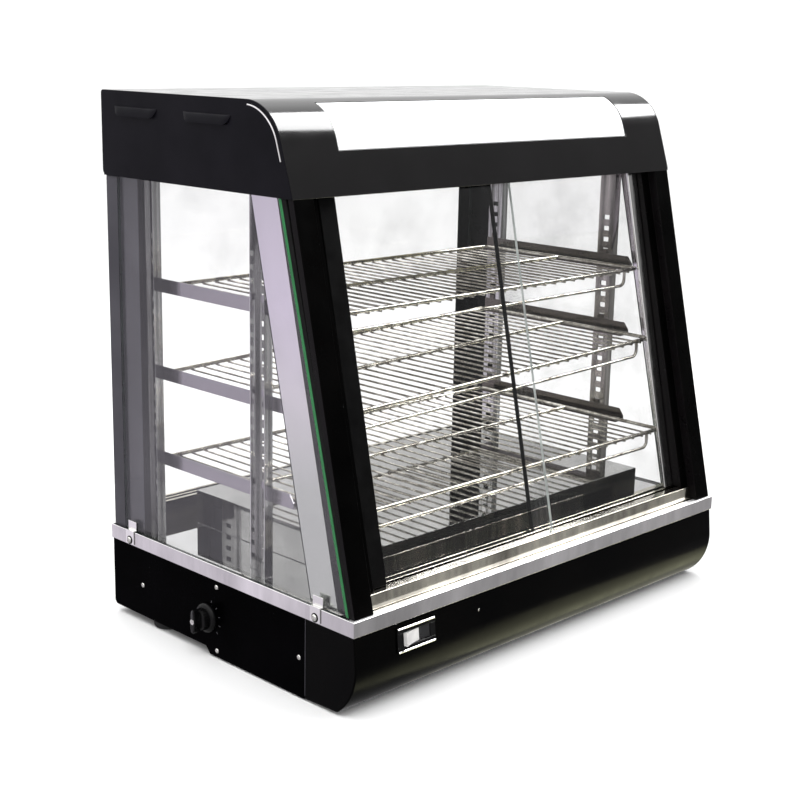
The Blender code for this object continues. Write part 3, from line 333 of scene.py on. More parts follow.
# Streaks in the uprights' tone: painted reflections.
UPRIGHT_REFLECTION_STREAKS, LIT_UPRIGHT_REFLECTION_STREAKS = (85, (1, 1, 0.05)), (170, ALONG_Z)
LOOKS = {
    "paint": paint("base_paint", (0.0004, 0.0004, 0.0005), (0.0010, 0.0009, 0.0012), 0.005, 0.24),
    "fascia_paint": paint("fascia_paint", (0.0005, 0.0005, 0.0006), (0.0012, 0.0011, 0.0010), 0.03, 0.22),
    "hood_paint": paint("hood_paint", (0.0012, 0.0009, 0.0012), (0.0026, 0.0021, 0.0026), 0.5, 0.12),
    "side_paint": paint("side_paint", (0.0036, 0.0034, 0.0052), (0.0060, 0.0055, 0.0080), 0.055, 0.4),
    # Front posts and rear-right post: their front and back faces are painted darker as painted shade.
    "post_paint": post_paint("post_paint", 0.09, 0.32, (0, 1, 0), *SHADED_FACE_TONES, (0.09, 0.03)),
    # Rear-left post and cheek strips: their sideways faces painted slate grey as painted light, their other faces
    # black.
    "lit_side_paint": post_paint("lit_side_paint", 0.3, 0.4, (1, 0, 0), *LIT_SIDE_TONES, (0.09, 0.3)),
    "band": band(),
    "clip": steel("stainless_clip", (0.90, 0.89, 0.88), 0.14, ALONG_Z),
    # Uprights and water tray: stainless with strong streaks of painted reflection.
    "upright": steel("stainless_upright", (0.50, 0.48, 0.45), 0.12, ALONG_Z, 0.12, 0.72, UPRIGHT_REFLECTION_STREAKS),
    # A lighter copy of the upright stainless: painted light.
    "lit_upright": steel("lit_upright", (0.85, 0.84, 0.79), 0.1, ALONG_Z, 0.12, 0.85, LIT_UPRIGHT_REFLECTION_STREAKS),
    # The right shelf rails: the same stainless painted darker, as painted shade.
    "bracket": steel("stainless_bracket", (0.17, 0.155, 0.14), 0.2, ALONG_Y, shade=0.4),
    "lit_bracket": lit_bracket(),
    "trim": trim(),
    # Sills and hood ceiling: a beige tone with strong blotches, both painted reflections.
    "sill": steel("track_aluminium", (0.62, 0.59, 0.51), 0.12, ALONG_X, 0.04, 0.62, (17, UPRIGHT_SPOTS)),
    "floor": steel("mirror_steel", (0.68, 0.68, 0.68), 0.03, ALONG_X, 0.04, 0.08),
    "deck": deck(),
    "wire": wire(),
    "screw": steel("nickel_screw", (0.74, 0.73, 0.70), 0.22, EVEN, patch=(400, EVEN)),
    "heater": scorched(),
    "plastic": plastic("black_plastic", (0.0010, 0.0010, 0.0012), 0.22, specular=0.17),
    "pull": plastic("pull_black", (0.0010, 0.0010, 0.0011), 0.5, specular=0.06),
    "seal": plastic("seal_black", (0.004, 0.004, 0.004), 0.7, 900, 0.1),
    "rubber": plastic("rubber", (0.012, 0.012, 0.012), 0.75, 700, 0.2),
    "switch": plastic("switch_grey", (0.52, 0.51, 0.50), 0.35),
    "switch_dark": plastic("switch_dark", (0.012, 0.012, 0.013), 0.3),
    "print": plastic("print_white", (0.05, 0.05, 0.055), 0.5),
    "sign": opal(),
    "lamp": plastic("lamp_glass", (0.90, 0.90, 0.87), 0.25),
    "side_glass": glass("side_glass", (1, 0, 0)),
    # The right side pane lets less through than the left one.
    "dimmer_side_glass": glass("dimmer_side_glass", (1, 0, 0), clarity=0.93, smear=0.80),
    "door_glass": glass("door_glass", (0, 1, 0)),
    # One front pane's cut edge painted pale grey: a painted highlight.
    "lit_edge_door_glass": glass("lit_edge_door_glass", (0, 1, 0), (0.30, 0.32, 0.31)),
    "rear_glass": glass("rear_glass", (0, 1, 0), smear=0.90),
    "glass_edge": plastic("glass_edge", (0.008, 0.115, 0.030), 0.15, 300, 0.5),
}

# ---- shape helpers


def linked(name, data):
    """A new object in the scene."""
    obj = bpy.data.objects.new(name, data)
    bpy.context.scene.collection.objects.link(obj)
    return obj


def mesh_of(bm, name):
    """The drawn shape as a mesh, with its faces turned outwards."""
    bmesh.ops.recalc_face_normals(bm, faces=bm.faces)
    mesh = bpy.data.meshes.new(name)
    bm.to_mesh(mesh)
    bm.free()
    return mesh


def turn_towards(direction):
    """The rotation that takes +Z to a direction."""
    return Vector((0, 0, 1)).rotation_difference(Vector(direction)).to_matrix().to_4x4()


def prism(bm, outline, low, high, axis):
    """A flat outline drawn in the other two axes, thickened along one axis."""
    i = "XYZ".index(axis)
    near, far = ([bm.verts.new((*p[:i], along, *p[i:])) for p in outline] for along in (low, high))
    bm.faces.new(near)
    bm.faces.new(far)
    for i in range(len(outline)):
        j = (i + 1) % len(outline)
        bm.faces.new((near[i], near[j], far[j], far[i]))


def grid(bm, rows, is_open=lambda i, k: False):
    """A surface through rows of points, without the faces that is_open picks."""
    rows = [[bm.verts.new(p) for p in row] for row in rows]
    for i, (a, b) in enumerate(zip(rows, rows[1:])):
        for k in range(len(a) - 1):
            if not is_open(i, k):
                bm.faces.new((a[k], a[k + 1], b[k + 1], b[k]))
    return rows


def block(bm, low, high):
    outline = [(low[0], low[1]), (high[0], low[1]), (high[0], high[1]), (low[0], high[1])]
    prism(bm, outline, low[2], high[2], "Z")


def turned(bm, profile, centre, direction=(0, 0, 1), segments=40):
    """A turned shape: profile points are (distance along the direction, radius)."""
    matrix = Matrix.Translation(centre) @ turn_towards(direction)
    rings = []
    for along, radius in profile:
        count = segments if radius > 1e-6 else 1
        angles = [2 * pi * k / segments for k in range(count)]
        ring = [(radius * cos(a), radius * sin(a), along) for a in angles]
        rings.append([bm.verts.new(matrix @ Vector(p)) for p in ring])
    for first, second in zip(rings, rings[1:]):
        join_rings(bm, first, second)
    for ring in (rings[0], rings[-1]):
        if len(ring) > 1:
            bm.faces.new(ring)


def join_rings(bm, first, second):
    """Faces between two rings of points; either may be a single point."""
    count = max(len(first), len(second))
    for k in range(count):
        pairs = ((first, k), (first, k + 1), (second, k + 1), (second, k))
        bm.faces.new(dict.fromkeys(ring[i % count % len(ring)] for ring, i in pairs))


def sweep(bm, path, radius, sides, closed=False):
    """A round bar along a path, closed at its ends."""
    points = [Vector(p) for p in path]
    count = len(points)
    rings, normal, before = [], None, None
    for i, point in enumerate(points):
        ahead = points[(i + 1) % count] if closed or i < count - 1 else point
        behind = points[i - 1] if closed or i > 0 else point
        tangent = (ahead - behind).normalized()
        if normal is None:
            normal = tangent.orthogonal().normalized()
        else:
            normal = before.rotation_difference(tangent) @ normal
        side = tangent.cross(normal).normalized()
        angles = [2 * pi * k / sides for k in range(sides)]
        spokes = [(normal * cos(a) + side * sin(a)) * radius for a in angles]
        rings.append([bm.verts.new(point + spoke) for spoke in spokes])
        before = tangent
    for first, second in zip(rings, rings[1:]):
        join_rings(bm, first, second)
    if closed:
        join_rings(bm, rings[-1], rings[0])
    else:
        bm.faces.new(rings[0])
        bm.faces.new(rings[-1])


def rounded(points, radius, steps=6, closed=False):
    """The path through the points, with its corners turned on arcs."""
    corners = [Vector(p) for p in points]
    count = len(corners)
    path = []
    for i, corner in enumerate(corners):
        if not closed and i in (0, count - 1):
            path.append(corner)
            continue
        before = (corners[i - 1] - corner).normalized()
        after = (corners[(i + 1) % count] - corner).normalized()
        half = before.angle(after) / 2
        centre = corner + (before + after).normalized() * radius / sin(half)
        reach = radius / tan(half)
        first, last = corner + before * reach - centre, corner + after * reach - centre
        path += [centre + first.slerp(last, step / steps) * radius for step in range(steps + 1)]
    return path


def piece(name, bm, look, body="cabinet", **options):
    """Makes a finished piece from a shape drawn about the middle of the base."""
    finished(name, mesh_of(bm, name), look, body, **options)


def drawn(draw, *how):
    """A shape that takes one drawing call."""
    bm = bmesh.new()
    draw(bm, *how)
    return bm


def plate(name, outline, low, high, axis, look, **options):
    piece(name, drawn(prism, outline, low, high, axis), look, **options)


def finished(name, mesh, look, body="cabinet", stands_for=None, slot=None, bevel=0.0, segments=2, angle=35):
    """Places a mesh, with its look, the body it rides on and the CAD node it replaces."""
    mesh.transform(Matrix.Translation(BASE))
    mesh.shade_smooth()
    mesh.set_sharp_from_angle(angle=radians(angle))
    mesh.materials.append(LOOKS[look].material)
    obj = linked(name, mesh)
    if bevel:
        soften(obj, bevel, segments, angle)
    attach(obj, body)
    if stands_for:
        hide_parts(stands_for)
        slot = slot or SLOTS[stands_for]


def round_edges(obj, name, width, segments, angle):
    bevel = obj.modifiers.new(name, "BEVEL")
    bevel.width = width
    bevel.segments = segments
    bevel.limit_method = "ANGLE"
    bevel.angle_limit = radians(angle)


def soften(obj, width, segments, angle):
    """Rounded edges, with the faces between them kept flat."""
    round_edges(obj, "rounded_edges", width, segments, angle)
    obj.modifiers.new("flat_faces", "WEIGHTED_NORMAL").keep_sharp = True


def folded_sheet(bm, thickness, fold=0.0):
    """The mesh of an open surface once it has its folds and its thickness, inwards."""
    obj = linked("sheet", mesh_of(bm, "sheet"))
    if fold:
        round_edges(obj, "folds", fold, 4, 50)
    solid = obj.modifiers.new("thickness", "SOLIDIFY")
    solid.thickness = thickness
    solid.offset = -1
    return evaluated(obj)


def evaluated(obj, *helpers):
    """The object's mesh as its modifiers leave it; the object and its helpers are removed."""
    bpy.context.view_layer.update()
    graph = bpy.context.evaluated_depsgraph_get()
    mesh = bpy.data.meshes.new_from_object(obj.evaluated_get(graph))
    for used in (obj, *helpers):
        bpy.data.objects.remove(used)
    return mesh


def finish_cad(node, look, width):
    """Shows a CAD node, its flat faces made whole, its edges rounded, in a new look."""
    obj = frame["nodes"][node]
    mesh = obj.data
    if "custom_normal" in mesh.attributes:
        mesh.attributes.remove(mesh.attributes["custom_normal"])
    mesh.shade_smooth()
    for slot in obj.material_slots:
        slot.material = LOOKS[look].material
    obj.modifiers.new("weld", "WELD").merge_threshold = 0.00001
    whole = obj.modifiers.new("whole_faces", "DECIMATE")
    whole.decimate_type = "DISSOLVE"
    whole.angle_limit = radians(1)
    soften(obj, width, 2, 25)


# ---- fasteners


def screw_template():
    """A pan-head screw with a cross recess, pointing up from the origin, 1 unit in radius."""
    rim, crown = 0.12, 0.38
    bm = bmesh.new()
    dome = [(0, 1.0), (rim, 1.0)]
    dome += [(rim + crown * sin(a), cos(a)) for a in (0.35, 0.7, 1.0, 1.25, 1.45)]
    turned(bm, dome + [(rim + crown, 0.0)], (0, 0, 0), segments=28)
    head = linked("head", mesh_of(bm, "head"))
    bm = bmesh.new()
    block(bm, (-0.62, -0.11, 0.2), (0.62, 0.11, 1))
    slot_mesh = mesh_of(bm, "slot")
    tools = []
    for turn in (0, pi / 2):
        tool = linked("slot", slot_mesh)
        tool.rotation_euler.z = turn
        cut = head.modifiers.new("cut", "BOOLEAN")
        cut.operation = "DIFFERENCE"
        cut.object = tool
        tools.append(tool)
    return evaluated(head, *tools)


SCREW = screw_template()


def screws(name, places, radius, direction):
    """A group of screws with their heads towards one direction."""
    bm = bmesh.new()
    turn = turn_towards(direction)
    for i, place in enumerate(places):
        spin = Matrix.Rotation(0.9 * i + 0.4, 4, "Z")
        copy = SCREW.copy()
        copy.transform(Matrix.Translation(place) @ turn @ spin @ Matrix.Scale(radius, 4))
        bm.from_mesh(copy)
        bpy.data.meshes.remove(copy)
    piece(name, bm, "screw")


# ---- hood

COVER_LOW, COVER_HIGH = box_of("hood_cover")
HOOD_LOW, HOOD_TOP, HOOD_BACK = COVER_LOW.z, COVER_HIGH.z, COVER_HIGH.y
CURVE_R, CURVE_TURN = 0.058, radians(72)
CURVE_Z = HOOD_TOP - CURVE_R
SKIRT = (CURVE_Z + CURVE_R * cos(CURVE_TURN) - HOOD_LOW) / sin(CURVE_TURN)
CURVE_Y = COVER_LOW.y + CURVE_R * sin(CURVE_TURN) + SKIRT * cos(CURVE_TURN)
SIGN_LOW, SIGN_HIGH = box_of("sign_panel")
SIGN_START = acos((SIGN_HIGH.z - CURVE_Z) / (CURVE_R - GAP))
SIGN_TAIL = 0.012
PAINT_SHEET = 0.0012
ROLL_STEPS = 40
TOP_CORNER_R = 0.004


def hood_front(inset, start=0.0, tail=SKIRT):
    """The front in Y, Z, from an angle on its roll down the straight part below."""
    r = CURVE_R - inset
    turns = [start + (CURVE_TURN - start) * i / ROLL_STEPS for i in range(ROLL_STEPS + 1)]
    points = [(CURVE_Y - r * sin(a), CURVE_Z + r * cos(a)) for a in turns]
    y, z = points[-1]
    return points + [(y - tail * cos(CURVE_TURN), z - tail * sin(CURVE_TURN))]


def arc(centre, radius, first, last, steps=6):
    """Points on an arc in Y, Z; angles in degrees, 0 towards the back and 90 up."""
    angles = [radians(first + (last - first) * i / steps) for i in range(steps + 1)]
    return [(centre[0] + radius * cos(a), centre[1] + radius * sin(a)) for a in angles]


def hood_top_corner():
    return arc((HOOD_BACK - TOP_CORNER_R, HOOD_TOP - TOP_CORNER_R), TOP_CORNER_R, 0, 90)


def hood_cover():
    """One sheet, folded at the back, rolled down the front and open at the sign panel."""
    half, open_half = COVER_HIGH.x, SIGN_HIGH.x + 0.0013
    roll = hood_front(0)
    before = [(HOOD_BACK, HOOD_LOW), *hood_top_corner(), roll[0]]
    before += [p for i, p in enumerate(roll[:-1]) if 0 < i * CURVE_TURN / ROLL_STEPS < SIGN_START - 0.03]
    opening = hood_front(0, SIGN_START - 0.022, SIGN_TAIL + 0.0006)
    section = before + opening + roll[-1:]
    open_from, open_to = len(before), len(before) + len(opening) - 1
    rows = [[(x, y, z) for x in (-half, -open_half, open_half, half)] for y, z in section]
    bm = bmesh.new()
    grid(bm, rows, lambda i, k: k == 1 and open_from <= i < open_to)
    mesh = folded_sheet(bm, PAINT_SHEET)
    finished("hood_shell", mesh, "hood_paint", stands_for="hood_cover", bevel=0.0003, angle=25)


def hood_side(side, word):
    """A side plate with two pressed louvres and a bright bead inside its front curve."""
    low, high = box_of(f"hood_side_{word}")
    corner = 0.007
    outline = arc((HOOD_BACK - corner, HOOD_LOW + corner), corner, -90, 0) + hood_top_corner()
    outline += hood_front(0)[:-1]
    y, z = hood_front(0)[-1]
    cut_up, cut_back = 0.003, 0.001  # the cut-off tip where the front meets the lower edge
    outline += [(y + cos(CURVE_TURN) * cut_up, z + sin(CURVE_TURN) * cut_up)]
    outline += [(y + cut_back, z + cut_back), (y + cut_up, z)]
    options = {"stands_for": f"hood_side_{word}", "bevel": 0.0005, "angle": 50}
    plate(f"hood_cheek_{word}", outline, low.x, high.x, "X", "side_paint", **options)

    outer = high.x if side > 0 else low.x
    bead_inset, bead_r, bead_start, bead_tail = 0.0055, 0.0009, 0.06, SKIRT * 0.33
    bead = [(outer, y, z) for y, z in hood_front(bead_inset, bead_start, bead_tail)]
    piece(f"hood_bead_{word}", drawn(sweep, bead, bead_r, 8), "band", slot="stainless")

    louvre_z = 0.6165
    bm = bmesh.new()
    for y_back, y_front in ((0.193, 0.111), (0.064, -0.019)):
        louvre(bm, outer, side, y_front, y_back, louvre_z)
    piece(f"hood_louvres_{word}", bm, "side_paint", slot="black_paint")


def louvre(bm, x, side, y_front, y_back, z):
    """A quarter-round bulge pressed out along Y, steepest at its lower lip."""
    height, depth, sunk = 0.0110, 0.0037, 0.0004
    steps, turns = 16, 8
    top = z + height / 2
    rows = []
    for i in range(steps + 1):
        t = i / steps
        swell = min(1, sin(pi * t) * 3.2) ** 0.6 if 0 < t < 1 else 0.0
        y = y_front + (y_back - y_front) * t
        row = [(x - side * sunk, y, top)]
        for k in range(1, turns):
            a = pi / 2 * k / (turns - 1)
            out, down = depth * swell * sin(a), height * swell * (1 - cos(a))
            row.append((x + side * out, y, top - down))
        rows.append(row + [(x - side * sunk, y, top - height * swell)])
    grid(bm, rows)
    bmesh.ops.remove_doubles(bm, verts=bm.verts, dist=1e-6)


def sign_panel():
    """The opal sheet, bent to the roll, a little below the sheet round it."""
    thickness = 0.0028
    outer = hood_front(GAP, SIGN_START, SIGN_TAIL)
    inner = hood_front(GAP + thickness, SIGN_START, SIGN_TAIL)
    options = {"stands_for": "sign_panel", "bevel": 0.0005, "angle": 50}
    plate("sign_sheet", outer + inner[::-1], SIGN_LOW.x, SIGN_HIGH.x, "X", "sign", **options)


def lamp():
    """A fluorescent tube with caps, pins and two lampholders."""
    low, high = box_of("lamp_tube")
    y, z, r = (low.y + high.y) / 2, (low.z + high.z) / 2, (high.z - low.z) / 2 - 0.0005
    half = high.x - 0.005
    pin_y, pin_r, pin_length = 0.005, 0.0012, 0.005
    neck = [(half - 0.014, r), (half - 0.010, r * 0.96), (half - 0.008, r * 0.85)]
    tube = drawn(turned, [(-a, b) for a, b in reversed(neck)] + neck, (0, y, z), (1, 0, 0), 48)
    piece("lamp_glass", tube, "lamp", stands_for="lamp_tube")
    bm = bmesh.new()
    cap = [(half - 0.016, r + 0.0004), (half, r + 0.0004), (half, r * 0.8)]
    for side in (-1, 1):
        turned(bm, cap, (0, y, z), (side, 0, 0), 48)
        for offset in (-pin_y, pin_y):
            pin = [(half, pin_r), (half + pin_length, pin_r)]
            turned(bm, pin, (0, y, z + offset), (side, 0, 0), 12)
    piece("lamp_caps", bm, "screw", slot="stainless", bevel=0.0003)
    bm = bmesh.new()
    for side in (-1, 1):
        near, far = sorted((side * (half + 0.0005), side * (half + 0.011)))
        block(bm, (near, y - 0.011, z - 0.012), (far, y + 0.011, z + 0.018))
        block(bm, (near, y - 0.007, z + 0.018), (far, y + 0.007, HOOD_TOP - PAINT_SHEET))
    piece("lampholders", bm, "lamp", slot="sign_white", bevel=0.001)


# ---- base

FASCIA_LOW, FASCIA_HIGH = box_of("front_fascia")
HALF_W, BASE_TOP = FASCIA_HIGH.x, FASCIA_HIGH.z
BULGE_Y, BULGE_Z, ROLL_R, ROLL_END_Z = FASCIA_LOW.y, 0.060, 0.069, 0.004
FACE_Y = BULGE_Y + 0.0035
ROCKER = next(j for j in frame["joints"] if j["child"] == "rocker")
SWITCH_LEAN = atan2(-ROCKER["axis"][1], -ROCKER["axis"][2])
SWITCH_HALF = (0.0232, 0.0097)
KNOB_LOW, KNOB_HIGH = box_of("thermostat_knob")
KNOB_R = (KNOB_HIGH.y - KNOB_LOW.y) / 2
KNOB_MIDDLE = ((KNOB_LOW.y + KNOB_HIGH.y) / 2, (KNOB_LOW.z + KNOB_HIGH.z) / 2)


def on_fascia(depth=0.0):
    """Places a switch piece, drawn about the rocker's pivot with X across, -Y outward and Z up."""
    pivot = Vector(ROCKER["pos_m"]) - BASE
    lean = Matrix.Rotation(-SWITCH_LEAN, 4, "X")
    return Matrix.Translation(pivot) @ lean @ Matrix.Translation((0, depth, 0))


def fascia():
    """One folded sheet: a leaning face, a roll under its lower edge and a cheek at each end."""
    centre = on_fascia().translation
    end = asin((BULGE_Z - ROLL_END_Z) / ROLL_R)
    steps = 36
    lean = (BULGE_Y - FACE_Y) / (BULGE_Z - BASE_TOP)
    heights = [BASE_TOP, centre.z + SWITCH_HALF[1], centre.z - SWITCH_HALF[1], BULGE_Z]
    section = [(FACE_Y + lean * (z - BASE_TOP), z) for z in heights]
    for i in range(1, steps + 1):
        a = end * i / steps
        section.append((BULGE_Y + ROLL_R * (1 - cos(a)), BULGE_Z - ROLL_R * sin(a)))
    section.append((FASCIA_HIGH.y, FASCIA_LOW.z))
    stations = [-HALF_W, centre.x - SWITCH_HALF[0], centre.x + SWITCH_HALF[0], HALF_W]
    switch_opening = (1, 1)
    bm = bmesh.new()
    points = [[(x, y, z) for x in stations] for y, z in section]
    rows = grid(bm, points, lambda i, k: (i, k) == switch_opening)
    for k, x in ((0, -HALF_W), (3, HALF_W)):
        top = bm.verts.new((x, FASCIA_HIGH.y, BASE_TOP))
        bm.faces.new([row[k] for row in rows] + [top])
    mesh = folded_sheet(bm, PAINT_SHEET, fold=0.0016)
    finished("fascia_sheet", mesh, "fascia_paint", stands_for="front_fascia", bevel=0.0004, angle=25)
    # A thin lighter strip down the rear edge of each cheek: a painted highlight where the sheet's edge catches the
    # light.
    for word, side in SIDES.items():
        near, far = sorted((side * (HALF_W - 0.0004), side * (HALF_W + 0.0003)))
        rear = FASCIA_HIGH.y
        edge = drawn(block, (near, rear - 0.0005, 0.006), (far, rear + 0.0004, BAND_LOW.z - GAP))
        piece(f"cheek_highlight_{word}", edge, "lit_side_paint", slot="black_paint", bevel=0.0001)


def switch():
    """Bezel with rims along its top and bottom, and a rocker with a light and a dark half."""
    hx, hz, wide, tall = 0.0212, 0.0078, 0.029, 0.014  # half the opening, half the bezel
    face, shell, back, floor = -0.0022, 0.0014, 0.0160, 0.0140
    pivot_depth = 0.003
    matrix = on_fascia(-pivot_depth)
    bm = bmesh.new()
    for x, z, y0, y1 in ((wide, tall, face, -GAP), (hx + shell, hz + shell, -GAP, back)):
        for x0, x1, z0, z1 in ((-x, x, hz, z), (-x, x, -z, -hz), (-x, -hx, -hz, hz), (hx, x, -hz, hz)):
            block(bm, (x0, y0, z0), (x1, y1, z1))
    block(bm, (-hx, floor, -hz), (hx, back, hz))
    bm.transform(matrix)
    piece("switch_bezel", bm, "plastic", stands_for="rocker_bezel", bevel=0.0004)
    bm = bmesh.new()
    for z in (tall - 0.0012, -tall + 0.0012):
        sweep(bm, [(-wide + 0.001, face, z), (wide - 0.001, face, z)], 0.0011, 10)
    bm.transform(matrix)
    piece("switch_rims", bm, "clip", slot="stainless")

    rest, end, split, half_height = radians(8), 0.0203, 0.0045, 0.0073
    for word, sign, look in (("light", -1, "switch"), ("dark", 1, "switch_dark")):
        xs = [split + (sign * end - split) * i / 9 for i in range(10)]
        outline = [(x, -0.0042 - 0.0030 * (x / end) ** 2) for x in xs]
        outline += [(sign * end, -0.002), (sign * 0.011, 0.005), (split, 0.005)]
        bm = bmesh.new()
        prism(bm, outline, -half_height, half_height, "Z")
        bm.transform(on_fascia() @ Matrix.Rotation(rest, 4, "Z"))
        stands = "rocker_button" if sign < 0 else None
        options = {"stands_for": stands, "slot": "switch_grey", "bevel": 0.0005}
        piece(f"rocker_{word}_half", bm, look, "rocker", **options)


def knob():
    """Skirt with a ring of ribs, a waisted grip with a pointer line, and a bright centre cap."""
    depth = 0.018
    centre = Vector((KNOB_HIGH.x - depth, *KNOB_MIDDLE))
    outward, radius, front = (-1, 0, 0), KNOB_R, 0.0133
    bm = bmesh.new()
    profile = [(0.0, 1.0), (0.0014, 1.0), (0.003, 0.965), (0.0045, 0.86), (0.0052, 0.74)]
    profile += [(0.0105, 0.70), (0.0125, 0.66), (front, 0.56), (front, 0)]
    turned(bm, [(along, radius * r) for along, r in profile], centre, outward, 72)
    turned(bm, [(-depth, 0.003), (0.001, 0.003)], centre, outward, 24)
    piece("knob_skirt", bm, "plastic", "knob", stands_for="thermostat_knob")
    bm = bmesh.new()
    ribs, rib_r, rib_start, rib_end = 24, 0.0009, Vector((-0.0048, 0, 0)), Vector((-0.0118, 0, 0))
    for i in range(ribs):
        a = 2 * pi * i / ribs
        rim = Vector((0, cos(a), sin(a))) * radius * 0.705
        sweep(bm, [centre + rim + rib_start, centre + rim * 0.95 + rib_end], rib_r, 8)
    piece("knob_ribs", bm, "plastic", "knob", slot="black_plastic")
    turns = [2 * pi * i / 40 for i in range(40)]
    grip = [(0.0040 * cos(a) * (1 + 0.35 * sin(a) ** 2), 0.80 * sin(a)) for a in turns]
    outline = [(centre.y + y, centre.z + radius * z) for y, z in grip]
    options = {"body": "knob", "slot": "black_plastic", "bevel": 0.0012, "segments": 3}
    plate("knob_grip", outline, centre.x - 0.0213, centre.x - 0.012, "X", "plastic", **options)
    line_half, line_length, tip = 0.0006, 0.011, centre.z + radius * 0.76
    start = (centre.x - 0.0215, centre.y - line_half, tip - line_length)
    line = drawn(block, start, (centre.x - 0.0212, centre.y + line_half, tip))
    piece("knob_pointer", line, "print", "knob", slot="sign_white")
    cap = [(0.0208, 0.0034), (0.0217, 0.0032), (0.0217, 0.0022), (0.0211, 0.0)]
    piece("knob_centre", drawn(turned, cap, centre, outward, 24), "screw", "knob", slot="stainless")


def dial_marks():
    """Printed ticks on the side of the knob that faces the front."""
    centre = Vector((-HALF_W, *KNOB_MIDDLE))
    inner, outer = KNOB_R + 0.0035, KNOB_R + 0.0065
    tick_half, ink = 0.0004, Vector((0.0001, 0, 0))
    bm = bmesh.new()
    for i in range(5):
        a = radians(20 + 27 * i)
        start, end = (centre + Vector((0, -sin(a), cos(a))) * r for r in (inner, outer))
        wide = Vector((0, cos(a), sin(a))) * tick_half
        corners = [start - wide, start + wide, end + wide, end - wide]
        near = [bm.verts.new(c) for c in corners]
        far = [bm.verts.new(c - ink) for c in corners]
        bm.faces.new(near)
        bm.faces.new(far)
        join_rings(bm, near, far)
    piece("dial_marks", bm, "print", slot="sign_white")


def feet():
    """Turned rubber feet, each hollow underneath round its screw."""
    for node in (f"foot_{place}_{word}" for word in SIDES for place in ("front", "rear")):
        low, high = box_of(node)
        r, x, y = (high.x - low.x) / 2, (low.x + high.x) / 2, (low.y + high.y) / 2
        turns = (0.0, 0.4, 0.8, 1.2, 1.57)
        edge = [(0.0045 - 0.0045 * cos(a), r - 0.004 * (1 - sin(a))) for a in turns]
        hollow = [(0.0035, 0.0), (0.0035, 0.0055), (0.0, 0.0060)]
        foot = drawn(turned, hollow + edge + [(high.z, r * 0.97)], (x, y, 0), (0, 0, 1), 48)
        piece(node + "_turned", foot, "rubber", stands_for=node, angle=40)


def base_screws():
    places = ((0.156, 0.050), (0.012, 0.088), (0.012, 0.010), (-0.131, 0.048))
    for word, side in SIDES.items():
        spots = [(side * HALF_W, y, z) for y, z in places]
        screws(f"side_screws_{word}", spots, 0.0030, (side, 0, 0))
    centre = on_fascia().translation
    screws("fascia_screw", [(-0.137, FACE_Y - 0.0019, centre.z + 0.001)], 0.0013, (0, -1, 0))
    back = box_of("base_back")[1].y
    rows = [(x, back, z) for x in (-0.31, -0.105, 0.105, 0.31) for z in (0.018, 0.088)]
    screws("back_screws", rows, 0.0028, (0, 1, 0))
    rows = [(x, HOOD_BACK, HOOD_LOW + 0.012) for x in (-0.31, -0.155, 0.0, 0.155, 0.31)]
    screws("hood_screws", rows, 0.0028, (0, 1, 0))


def clip_screws():
    """A screw on a thin dark ring in each clip that holds a side pane."""
    raised, proud = 0.0052, 0.0005
    dark_ring = [(-0.0002, 0.0052), (0.0003, 0.0052), (0.0006, 0.0048), (0.0006, 0.0)]
    for word, side in SIDES.items():
        for place in ("front", "rear"):
            low, high = box_of(f"glass_clip_{place}_{word}")
            x = high.x if side > 0 else low.x
            spot = Vector((x, (low.y + high.y) / 2, low.z + raised))
            head = [spot + Vector((side * proud, 0, 0))]
            screws(f"clip_screw_{place}_{word}", head, 0.0040, (side, 0, 0))
            disc = drawn(turned, dark_ring, spot, (side, 0, 0), 32)
            piece(f"clip_dark_ring_{place}_{word}", disc, "seal", slot="rubber")


def cord():
    """Round cable with a wall bushing and a ribbed neck, and a moulded plug."""
    low, high = box_of("power_cord")
    back = box_of("base_back")[1].y
    r, bush_r = 0.0035, 0.0085
    x, z = high.x - bush_r, high.z - bush_r
    run_y, lie_z = 0.236, r + 0.001
    turn_z = lie_z + 0.008
    plug_end, neck = low.x, low.x + 0.037
    corners = [(x, back - 0.012, z), (x, run_y, z), (x, run_y, turn_z)]
    corners += [(x - 0.03, run_y, lie_z), (neck - 0.003, run_y, lie_z)]
    bm = bmesh.new()
    sweep(bm, rounded(corners, 0.008, 8), r, 16)
    bush = [(0, bush_r), (0.003, bush_r), (0.0035, 0.0075), (0.0045, 0.0075)]
    turned(bm, bush, (x, back + GAP, z), (0, 1, 0), 32)
    ring, pitch = [(0.0, 0.0044), (0.0016, 0.0044)], 0.0032
    for i in range(4):
        turned(bm, ring, (neck + 0.0012 + pitch * i, run_y, lie_z), (1, 0, 0), 24)
    piece("supply_cable", bm, "plastic", stands_for="power_cord", bevel=0.0003)
    half, plug_low, plug_high = 0.011, 0.0006, 0.0224
    outline = [(plug_end, -half), (plug_end, half), (plug_end + 0.022, half), (neck, half / 2)]
    outline += [(a, -b) for a, b in reversed(outline)][:2]
    outline = [(a, run_y + b) for a, b in outline]
    options = {"slot": "black_plastic", "bevel": 0.0025, "segments": 4}
    plate("plug", outline, plug_low, plug_high, "Z", "plastic", **options)


# ---- shelves, heat, glass seals

ROD_R, WIRE_R = 0.0025, 0.00125
WIRE_PITCH, WIRE_COUNT = 0.019, 29
LIP_DROP, LIP_HALF_W = 0.020, 0.258


